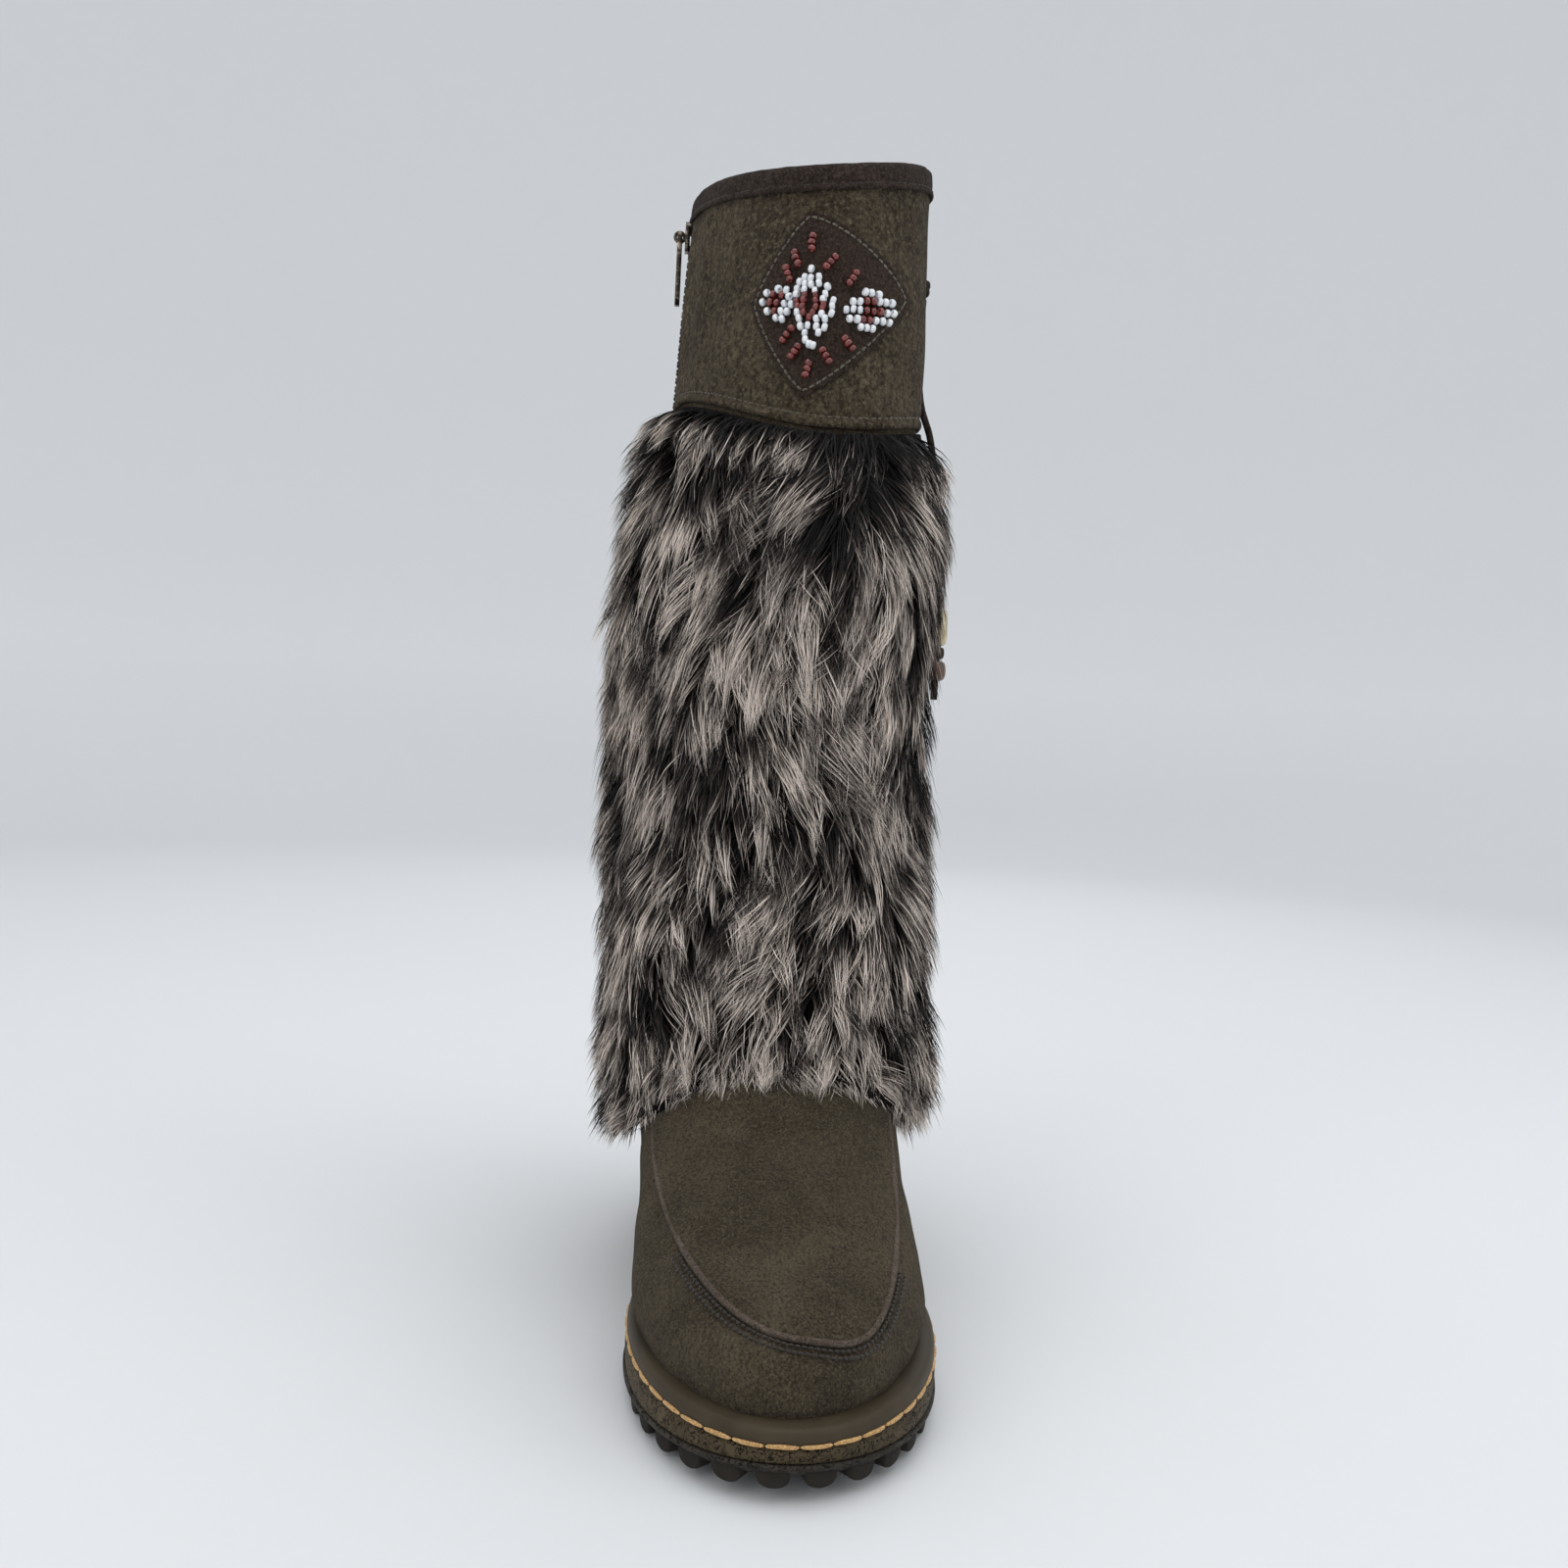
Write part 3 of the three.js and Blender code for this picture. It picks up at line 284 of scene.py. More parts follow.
def row_of_stitches(line: Array, outs: Array, stitch: Shape, pitch: float, closed: bool = False) -> Shape:
    """Stitches laid end to end along a line, each with its Z along the surface's outward direction.

    Args:
        line: Points of the line, n by 3.
        outs: Outward directions of the surface at those points.
        stitch: The shape of one stitch, along X.
        pitch: Distance from stitch to stitch.
        closed: Whether the line returns to its first point.
    """
    places, ways = along_line(line, pitch, closed)
    nearest = np.argmin(np.linalg.norm(places[:, None] - line[None], axis=-1), axis=1)
    out = outs[nearest]
    side = unit(np.cross(out, ways))
    frames = np.stack([ways, side, unit(np.cross(ways, side))], axis=1)
    return stitch.placed(places, frames)


# The form of the upper and of the sole

SECTIONS = np.array(
    [
        # back, zBack, front, zFront, bow, tilt, heel, waist, ball, endHeel, endToe, shiftBack, shiftMid, shiftFront
        [9, 26.6, 267, 17.2, -1.5, 0, 31, 35, 46, 42, 84, 0, 3, 0],
        [5, 40, 269.5, 27, -1, 0, 36, 41, 49, 44, 84, 0, 2.3, 0.5],
        [4.5, 54, 266, 37, 0, 0, 39, 45, 48, 46, 82, 0, 1.2, 1],
        [5, 70, 255, 45, 0, 0, 41, 47, 46.5, 48, 80, 0, 0.5, 2],
        [7, 87, 236, 54, 0, 0, 43, 48, 45.5, 50, 84, 0, 0.5, 2],
        [9.5, 104, 210, 66, 0, 0, 44.5, 48, 46, 54, 84, -0.4, 0.6, 1.6],
        [11.5, 121, 184, 81, 0, 0, 46, 48, 46.5, 58, 78, -1.6, -0.1, 0.4],
        [12.5, 139, 162, 103, 0, 0, 47, 48, 47.5, 62, 71, -3, -0.5, 0],
        [12.5, 160, 148, 132, 0, 0, 48, 48, 48, 66, 67, -4.2, -1.2, -0.2],
        [11.5, 195, 140, 176, 1, 0, 48.5, 48.5, 48.5, 64, 64, -5.4, -2.4, -0.4],
        [9.5, 245, 137, 230, 2, 0, 49, 49, 49, 63.8, 63.8, -6.2, -2.7, 0.8],
        [8, 296, 136, 280, 4, -2, 48.8, 48.8, 48.8, 64, 64, -6.6, -0.2, 6.4],
        [7, 340, 134.5, 327, 8, -3, 46.8, 46.8, 46.8, 63.8, 63.8, -7, 2.2, 11],
        [8, 386, 132.5, 376, 8, 1, 45.1, 45.1, 45.1, 62.2, 62.2, -7.6, 3.1, 13.4],
        [9.5, 432, 130.5, 423.5, 6.5, 5, 42.9, 42.9, 42.9, 60.5, 60.5, -7.4, 3.8, 13.6],
    ],
    float,
)
TOP_LEVEL = len(SECTIONS) - 1
HEIGHT_COLUMNS = [1, 3, 4, 5]


@dataclass(frozen=True)
class Outline:
    """One section seen from above. Each value is a number or an array that fits the angles it is used with."""

    back: Array | float
    front: Array | float
    heel: Array | float
    waist: Array | float
    ball: Array | float
    end_heel: Array | float
    end_toe: Array | float
    shift_back: Array | float
    shift_mid: Array | float
    shift_front: Array | float

    def at(self, angle: Array) -> tuple[Array, Array]:
        """The outline's point at an angle, 0 at the back and a quarter turn at the outer side.

        The share along is (1 - cos angle) / 2. The half width goes from heel to waist to ball by smooth steps, and
        each end closes as a quarter of an ellipse. The middle line is a parabola through three shifts.

        Returns:
            The place across and the distance from the heel end.
        """
        share = (1 - np.cos(angle)) / 2
        length = self.front - self.back
        width = self.heel + (self.waist - self.heel) * smooth((share - 0.16) / 0.26)
        width = width + (self.ball - self.waist) * smooth((share - 0.42) / 0.28)
        quarter = lambda distance, end: np.sqrt(1 - (1 - np.clip(distance / end, 0, 1)) ** 2)
        width = width * quarter(share * length, self.end_heel) * quarter((1 - share) * length, self.end_toe)
        middle = self.shift_back * (1 - share) * (1 - 2 * share) + self.shift_mid * 4 * share * (1 - share)
        middle = middle + self.shift_front * share * (2 * share - 1)
        return middle + np.sign(np.sin(angle)) * width, self.back + share * length

    def inset(self, by: float) -> "Outline":
        """Returns the outline moved inwards all round."""
        smaller = {name: getattr(self, name) - by for name in ("heel", "waist", "ball", "end_heel", "end_toe")}
        return replace(self, back=self.back + by, front=self.front - by, **smaller)


class Last:
    """The outer surface of the upper, as a function of an angle round it and a level up it."""

    @staticmethod
    def columns(level: Array, picked: Optional[Sequence[int]] = None) -> Array:
        """The section table at any level: a Catmull-Rom curve through the rows of each column.

        Args:
            level: Levels, any shape.
            picked: Which columns are wanted, or all.

        Returns:
            The values, with the columns along a last axis.
        """
        table = SECTIONS if picked is None else SECTIONS[:, picked]
        row = np.clip(np.floor(level).astype(int), 0, TOP_LEVEL - 1)
        t = (level - row)[..., None]
        a, b, c, d = (table[np.clip(row + k, 0, TOP_LEVEL)] for k in (-1, 0, 1, 2))
        return b + 0.5 * t * (c - a + t * (2 * a - 5 * b + 4 * c - d + t * (3 * (b - c) + d - a)))

    @classmethod
    def bare(cls, angle: Array, level: Array) -> Array:
        """Points of the surface: the outline from above, its height carried from back to front, bowed and tilted."""
        angle, level = np.broadcast_arrays(np.asarray(angle, float), np.asarray(level, float))
        v = np.moveaxis(cls.columns(level), -1, 0)
        x, along = Outline(v[0], v[2], *v[6:]).at(angle)
        share = (1 - np.cos(angle)) / 2
        z = mix(v[1], v[3], share) + v[4] * 4 * share * (1 - share) + v[5] * np.sin(angle)
        return np.stack([x, HEEL_TO_ORIGIN - along, z], axis=-1)

    @classmethod
    def normal(cls, angle: Array, level: Array) -> Array:
        """Outward directions: up the surface crossed with round it, both by small differences."""
        reach = 0.02
        around = cls.bare(angle + reach, level) - cls.bare(angle - reach, level)
        up = cls.bare(angle, np.minimum(level + reach, TOP_LEVEL)) - cls.bare(angle, np.maximum(level - reach, 0))
        return unit(np.cross(up, around))

    @classmethod
    def point(cls, angle: Array, level: Array, offset: Array | float = 0.0) -> Array:
        """Points of the surface moved outwards by an offset."""
        out = cls.normal(np.asarray(angle, float), np.asarray(level, float))
        return cls.bare(angle, level) + out * np.broadcast_to(offset, out.shape[:-1])[..., None]

    @classmethod
    def level_at(cls, angle: Array, height: Array) -> Array:
        """Levels at which the surface reaches a height, found by halving."""
        angle, height = np.broadcast_arrays(np.asarray(angle, float), np.asarray(height, float))
        share, sine = (1 - np.cos(angle)) / 2, np.sin(angle)
        low, high = np.zeros(angle.shape), np.full(angle.shape, float(TOP_LEVEL))
        for _ in range(22):
            middle = (low + high) / 2
            v = np.moveaxis(cls.columns(middle, HEIGHT_COLUMNS), -1, 0)
            below = mix(v[0], v[1], share) + v[2] * 4 * share * (1 - share) + v[3] * sine < height
            low, high = np.where(below, middle, low), np.where(below, high, middle)
        return low

    @classmethod
    def beside_zip(cls, level: Array, distance: Array | float) -> Array:
        """Angles of a line that runs beside the zip at a distance from its middle."""
        v = cls.columns(np.asarray(level, float), [0, 2])
        return ZIP_ANGLE + distance / ((v[..., 1] - v[..., 0]) / 2 * -math.sin(ZIP_ANGLE))

    @classmethod
    def front(cls, x: Array, z: Array, offset: Array | float = 0.0) -> tuple[Array, Array]:
        """Points on the front of the shaft that are seen from the front at a place across and a height.

        Returns:
            The points and their outward directions.
        """
        x, z = np.broadcast_arrays(np.asarray(x, float), np.asarray(z, float))
        outer, inner = np.full(x.shape, math.pi / 2), np.full(x.shape, 1.5 * math.pi)
        for _ in range(22):
            middle = (outer + inner) / 2
            beyond = cls.point(middle, cls.level_at(middle, z), offset)[..., 0] > x
            outer, inner = np.where(beyond, middle, outer), np.where(beyond, inner, middle)
        level = cls.level_at(outer, z)
        return cls.point(outer, level, offset), cls.normal(outer, level)


def around(edges: tuple[float, float, float, float], angle: Array) -> Array:
    """A value between four, at the back, the outer side, the front and the inner side: cos^2 one + sin^2 other."""
    back, outer, front, inner = edges
    c, s = np.cos(angle), np.sin(angle)
    return c * c * np.where(c > 0, back, front) + s * s * np.where(s > 0, outer, inner)


# Finishes


class Pattern:
    """A node tree that a finish builds up, and its main shader."""

    def __init__(self, name: str) -> None:
        """Starts a material of that name with an empty shader."""
        self.material = bpy.data.materials.new(name)
        self.material.use_nodes = True
        self.tree = self.material.node_tree
        self.shader = self.tree.nodes["Principled BSDF"]
        self.coordinates = self.tree.nodes.new("ShaderNodeTexCoord").outputs["Object"]

    def node(self, kind: str, inputs: dict, **settings: object) -> bpy.types.Node:
        """Adds a node.

        Args:
            kind: The node's type, without its ShaderNode prefix.
            inputs: Sockets or constants for its inputs, by name or number.
            settings: Properties of the node.

        Returns:
            The node.
        """
        made = self.tree.nodes.new("ShaderNode" + kind)
        for name, value in settings.items():
            setattr(made, name, value)
        for name, value in inputs.items():
            if isinstance(value, bpy.types.NodeSocket):
                self.tree.links.new(value, made.inputs[name])
            else:
                made.inputs[name].default_value = value
        return made

    def noise(
        self, size: float, detail: float = 2, rough: float = 0.5, warp: float = 0, stretch: tuple = (1, 1, 1)
    ) -> Socket:
        """Returns noise whose rises are about size millimetres apart, in a space stretched along the axes."""
        place = self.node("Mapping", {"Vector": self.coordinates, "Scale": stretch}).outputs[0]
        inputs = {"Vector": place, "Scale": 1 / (size * MM), "Detail": detail, "Roughness": rough, "Distortion": warp}
        return self.node("TexNoise", inputs).outputs["Fac"]

    def attribute(self, name: str) -> Socket:
        """Returns a number stored at the piece's points."""
        return self.node("Attribute", {}, attribute_name=name).outputs["Fac"]

    def sums(self, operation: str, *values: Socket | float) -> Socket:
        """Returns the result of a sum such as ADD or MULTIPLY."""
        return self.node("Math", dict(enumerate(values)), operation=operation).outputs[0]

    def ramp(self, value: Socket, stops: Sequence[tuple[float, tuple]]) -> Socket:
        """Returns a colour read from stops along a line, each a place from 0 to 1 and a colour."""
        made = self.node("ValToRGB", {"Fac": value})
        stack = made.color_ramp.elements
        while len(stack) < len(stops):
            stack.new(0.5)
        for element, (place, colour) in zip(stack, stops):
            element.position, element.color = place, colour
        return made.outputs["Color"]

    def level(self, value: Socket, low: float, high: float, to_low: float = 0.0, to_high: float = 1.0) -> Socket:
        """Returns a value carried from one span to another and held at its ends."""
        inputs = {"Value": value, "From Min": low, "From Max": high, "To Min": to_low, "To Max": to_high}
        return self.node("MapRange", inputs).outputs["Result"]

    def blend(self, share: Socket | float, first: Socket | tuple, second: Socket | tuple, way: str = "MIX") -> Socket:
        """Returns a mixture of two colours."""
        made = self.node("Mix", {"Factor": share}, data_type="RGBA", blend_type=way)
        for name, value in (("A", first), ("B", second)):
            socket = [s for s in made.inputs if s.name == name and s.type == "RGBA"][0]
            if isinstance(value, bpy.types.NodeSocket):
                self.tree.links.new(value, socket)
            else:
                socket.default_value = value
        return [s for s in made.outputs if s.type == "RGBA"][0]

    def bump(self, height: Socket, strength: float, depth: float, under: Optional[Socket] = None) -> Socket:
        """Returns a normal roughened by a height. The depth is in millimetres."""
        inputs = {"Height": height, "Strength": strength, "Distance": depth * MM}
        if under is not None:
            inputs["Normal"] = under
        return self.node("Bump", inputs).outputs[0]

    def finish(self, colour: Socket | tuple, normal: Optional[Socket] = None, **shader: object) -> bpy.types.Material:
        """Joins the colour, the normal and the shader's own values, and returns the material."""
        values = {"Base Color": colour} | {k.replace("_", " ").title(): v for k, v in shader.items()}
        if normal is not None:
            values["Normal"] = normal
        for name, value in values.items():
            name = name.replace("Ior", "IOR")
            if isinstance(value, bpy.types.NodeSocket):
                self.tree.links.new(value, self.shader.inputs[name])
            else:
                self.shader.inputs[name].default_value = value
        return self.material


@dataclass(frozen=True)
class Suede:
    """Split leather with a short nap: a dark ground, lighter brushed fibres and a pebbled grain."""

    name: str
    colour: tuple
    dark: tuple
    light: tuple
    grain: float
    depth: float
    rubbed: float = 0.5

    def material(self) -> bpy.types.Material:
        """Returns the suede. Broad patches of brushed nap lie over a fine fleck, and cells of grain give the bump."""
        p = Pattern(self.name)
        patches = p.level(p.noise(30, 3, 0.6, 0.6), 0.36, 0.68)
        fleck = p.level(p.noise(self.grain, 4, 0.8), 0.38, 0.62)
        nap = p.level(p.noise(self.grain * 1.3, 3, 0.7, 0.3, (1, 1, 0.45)), 0.4, 0.62)
        colour = p.blend(p.sums("MULTIPLY", patches, self.rubbed), self.colour, self.light)
        colour = p.blend(p.level(nap, 0.0, 0.5, 0.55, 0.0), colour, self.dark)
        colour = p.blend(p.level(fleck, 0.0, 0.4, 0.7, 0.0), colour, self.dark)
        colour = p.blend(p.level(fleck, 0.62, 1.0, 0.0, 0.75), colour, self.light)
        grain = p.sums("ADD", p.noise(self.grain * 1.7, 3, 0.65), p.sums("MULTIPLY", fleck, 0.7))
        normal = p.bump(p.noise(9, 2), 0.4, 0.9)
        normal = p.bump(grain, 0.9, self.depth, normal)
        return p.finish(colour, normal, roughness=0.95, specular_ior_level=0.07, sheen_weight=0.03, sheen_roughness=0.5)


@dataclass(frozen=True)
class Rubber:
    """Moulded rubber. A squiggled side has raised marks on a dark ground; a plain one is nearly smooth."""

    name: str
    ground: tuple
    raised: tuple
    squiggle: float = 0.0
    roughness: float = 0.55
    shine: float = 0.35

    def material(self) -> bpy.types.Material:
        """Returns the rubber. The squiggle is a band of warped noise around its middle value."""
        p = Pattern(self.name)
        soft = p.level(p.noise(22, 3, 0.6), 0.35, 0.65)
        if self.squiggle:
            wave = p.noise(self.squiggle, 1.0, 0.4, 1.4)
            mark = p.level(p.sums("ABSOLUTE", p.sums("SUBTRACT", wave, 0.5)), 0.012, 0.05)
            worn = p.blend(soft, self.raised, tuple(0.62 * c for c in self.raised[:3]) + (1.0,))
            colour = p.blend(mark, self.ground, worn)
            normal = p.bump(mark, 0.9, 0.45, p.bump(p.noise(0.5, 2), 0.4, 0.12))
            rough = p.level(mark, 0, 1, 0.85, self.roughness)
            return p.finish(colour, normal, roughness=rough, specular_ior_level=self.shine)
        colour = p.blend(soft, self.ground, self.raised)
        normal = p.bump(p.noise(0.7, 3, 0.6), 0.35, 0.1, p.bump(p.noise(14, 2), 0.3, 0.5))
        rough = p.level(soft, 0, 1, self.roughness, self.roughness + 0.15)
        return p.finish(colour, normal, roughness=rough, specular_ior_level=self.shine)


@dataclass(frozen=True)
class Glaze:
    """A glossy or satin bead, with a slight change of colour from place to place."""

    name: str
    colour: tuple
    deep: tuple
    roughness: float = 0.16
    coat: float = 0.6

    def material(self) -> bpy.types.Material:
        """Returns the bead's finish under a clear coat."""
        p = Pattern(self.name)
        colour = p.blend(p.level(p.noise(2.4, 1), 0.3, 0.7), self.colour, self.deep)
        return p.finish(colour, roughness=self.roughness, coat_weight=self.coat, coat_roughness=0.06)


@dataclass(frozen=True)
class Horn:
    """A streaked bead of bone or wood: bands along the bead, with fine dark lines."""

    name: str
    pale: tuple
    streak: tuple

    def material(self) -> bpy.types.Material:
        """Returns the streaked finish."""
        p = Pattern(self.name)
        colour = p.blend(p.level(p.noise(1.6, 3, 0.6, 0.5, (1, 1, 0.16)), 0.4, 0.66), self.pale, self.streak)
        normal = p.bump(p.noise(1.2, 3, 0.6, 0.3, (1, 1, 0.2)), 0.3, 0.15)
        return p.finish(colour, normal, roughness=0.36, coat_weight=0.25, coat_roughness=0.2)


@dataclass(frozen=True)
class Thread:
    """Twisted sewing thread: fine slanting plies and a little fluff."""

    name: str
    colour: tuple
    shade: tuple

    def material(self) -> bpy.types.Material:
        """Returns the thread."""
        p = Pattern(self.name)
        plies = p.noise(0.55, 2, 0.6, 0.4, (1.0, 1.0, 1.8))
        colour = p.blend(p.level(plies, 0.42, 0.6), self.shade, self.colour)
        return p.finish(colour, p.bump(plies, 0.7, 0.25), roughness=0.7, sheen_weight=0.15)


@dataclass(frozen=True)
class Bronze:
    """Darkened bronze-toned metal with rubbed high places."""

    name: str
    dark: tuple
    rubbed: tuple

    def material(self) -> bpy.types.Material:
        """Returns the metal."""
        p = Pattern(self.name)
        wear = p.level(p.noise(2.6, 3, 0.6), 0.5, 0.68)
        colour = p.blend(wear, self.dark, self.rubbed)
        return p.finish(colour, p.bump(p.noise(0.8, 2), 0.2, 0.1), roughness=0.34, metallic=0.95)


@dataclass(frozen=True)
class Woven:
    """Woven tape or short pile: crossed fine ribs, or a fluffy ground."""

    name: str
    colour: tuple
    shade: tuple
    size: float
    pile: bool = False

    def material(self) -> bpy.types.Material:
        """Returns the cloth."""
        p = Pattern(self.name)
        if self.pile:
            fluff = p.sums("ADD", p.noise(self.size, 4, 0.7), p.noise(self.size * 5, 2))
            colour = p.blend(p.level(fluff, 0.8, 1.2), self.shade, self.colour)
            normal = p.bump(fluff, 1.0, 1.6)
            return p.finish(colour, normal, roughness=0.95, sheen_weight=0.02, specular_ior_level=0.05)
        upright, level = (1, 1, 0.25), (0.3, 0.3, 1)
        ribs = p.sums("MULTIPLY", *(p.noise(self.size, 1, 0.5, 0, way) for way in (upright, level)))
        colour = p.blend(p.level(ribs, 0.18, 0.34), self.shade, self.colour)
        return p.finish(colour, p.bump(ribs, 0.8, 0.3), roughness=0.85, specular_ior_level=0.15)


@dataclass(frozen=True)
class Hair:
    """Long synthetic hair: dark roots deepened to near-black as painted shade, grey-brown middles and pale rosy tips,
    dull in dark tufts.
    """

    name: str
    root: tuple
    middle: tuple
    tip: tuple

    def material(self) -> bpy.types.Material:
        """Returns the hair. Its place from root to tip and its tuft's tone come from the piece's own points."""
        p = Pattern(self.name)
        place = p.attribute("along")
        tone = p.attribute("tone")
        reach = p.sums("ADD", place, p.level(tone, 0, 1, -0.62, 0.16))
        # The root stops hold partly painted shade at the base of the pile.
        colour = p.ramp(
            reach, [(0.0, self.root), (0.32, self.root), (0.55, self.middle), (0.82, self.tip), (1.0, self.tip)]
        )
        return p.finish(colour, roughness=0.6, specular_ior_level=0.22, sheen_weight=0.0)


class Finish(Enum):
    """Every finish of the boot."""

    VAMP = Suede("vamp_suede", srgb(67, 59, 46), srgb(38, 32, 24), srgb(108, 97, 79), 0.8, 0.5, 0.5)
    PLUG = Suede("plug_edge_suede", srgb(88, 77, 68), srgb(54, 46, 38), srgb(122, 110, 98), 0.7, 0.3, 0.4)
    CUFF = Suede("cuff_split_suede", srgb(70, 61, 49), srgb(34, 28, 20), srgb(112, 101, 82), 1.7, 0.8, 0.35)
    BINDING = Suede("binding_suede", srgb(50, 41, 36), srgb(28, 22, 19), srgb(84, 72, 65), 1.1, 0.4, 0.3)
    PATCH = Suede("patch_suede", srgb(54, 44, 38), srgb(28, 22, 18), srgb(80, 68, 59), 1.0, 0.3, 0.3)
    WELT = Rubber("welt_rubber", srgb(52, 44, 32), srgb(68, 59, 45), 0.0, 0.45, 0.18)
    MIDSOLE = Rubber("midsole_rubber", srgb(18, 14, 10), srgb(86, 74, 54), 2.0, 0.6, 0.15)
    OUTSOLE = Rubber("outsole_rubber", srgb(14, 13, 11), srgb(66, 61, 54), 2.0, 0.6, 0.15)
    LUGS = Rubber("lug_rubber", srgb(30, 27, 24), srgb(46, 42, 37), 0.0, 0.65, 0.15)
    TAN_THREAD = Thread("tan_thread", srgb(212, 174, 116), srgb(160, 118, 66))
    # Dark thread: partly the thread's own colour, partly painted shade of the stitch holes.
    DARK_THREAD = Thread("dark_thread_hole_shade", srgb(46, 38, 30), srgb(30, 25, 20))
    OLIVE_THREAD = Thread("olive_thread", srgb(118, 112, 96), srgb(62, 56, 46))
    WHITE_BEAD = Glaze("pearl_glass", srgb(240, 240, 240), srgb(214, 218, 224))
    RED_BEAD = Glaze("maroon_glass", srgb(122, 44, 36), srgb(84, 24, 20))
    CREAM_BEAD = Horn("cream_bone", srgb(214, 202, 170), srgb(168, 148, 108))
    BROWN_BEAD = Horn("brown_wood", srgb(104, 70, 44), srgb(50, 33, 22))
    METAL = Bronze("darkened_bronze", srgb(58, 52, 46), srgb(150, 138, 122))
    TAPE = Woven("woven_tape", srgb(46, 39, 33), srgb(24, 20, 17), 0.9)
    LINING = Woven("lining_pile", srgb(120, 106, 92), srgb(62, 52, 44), 1.4, True)
    # Hair roots: partly the fur's own dark roots, partly painted shade at the base of the pile.
    HAIR = Hair("fur_hair", srgb(14, 11, 10), srgb(88, 78, 72), srgb(222, 209, 198))
    # Near-black ground under the hairs: painted shade deep in the pile.
    FUR_GROUND = Woven("fur_ground_painted_shade", srgb(26, 21, 18), srgb(8, 6, 6), 1.6, True)

    def material(self) -> bpy.types.Material:
        """Returns the finish's material, made at its first use."""
        return bpy.data.materials.get(self.value.name) or self.value.material()


def dress(piece: Piece, finish: Finish, slot: str, *nodes: str, body: str = BODY) -> Piece:
    """Gives a piece its finish and its body, and hides the solids that it stands for.

    Args:
        piece: The new piece.
        finish: Its finish.
        slot: The record's material slot; not used.
        nodes: Solids that it replaces.
        body: The body that it rides on.

    Returns:
        The piece.
    """
    piece.data.materials.append(finish.material())
    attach(piece, body)
    if nodes:
        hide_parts(*nodes)
    faces = sum(len(p.vertices) - 2 for p in piece.data.polygons) if len(piece.data.polygons) < 30000 else 0
    LOG.info("%s: %s", piece.name, f"{faces} triangles" if faces else f"{len(piece.data.polygons)} faces")
    return piece


# The studio


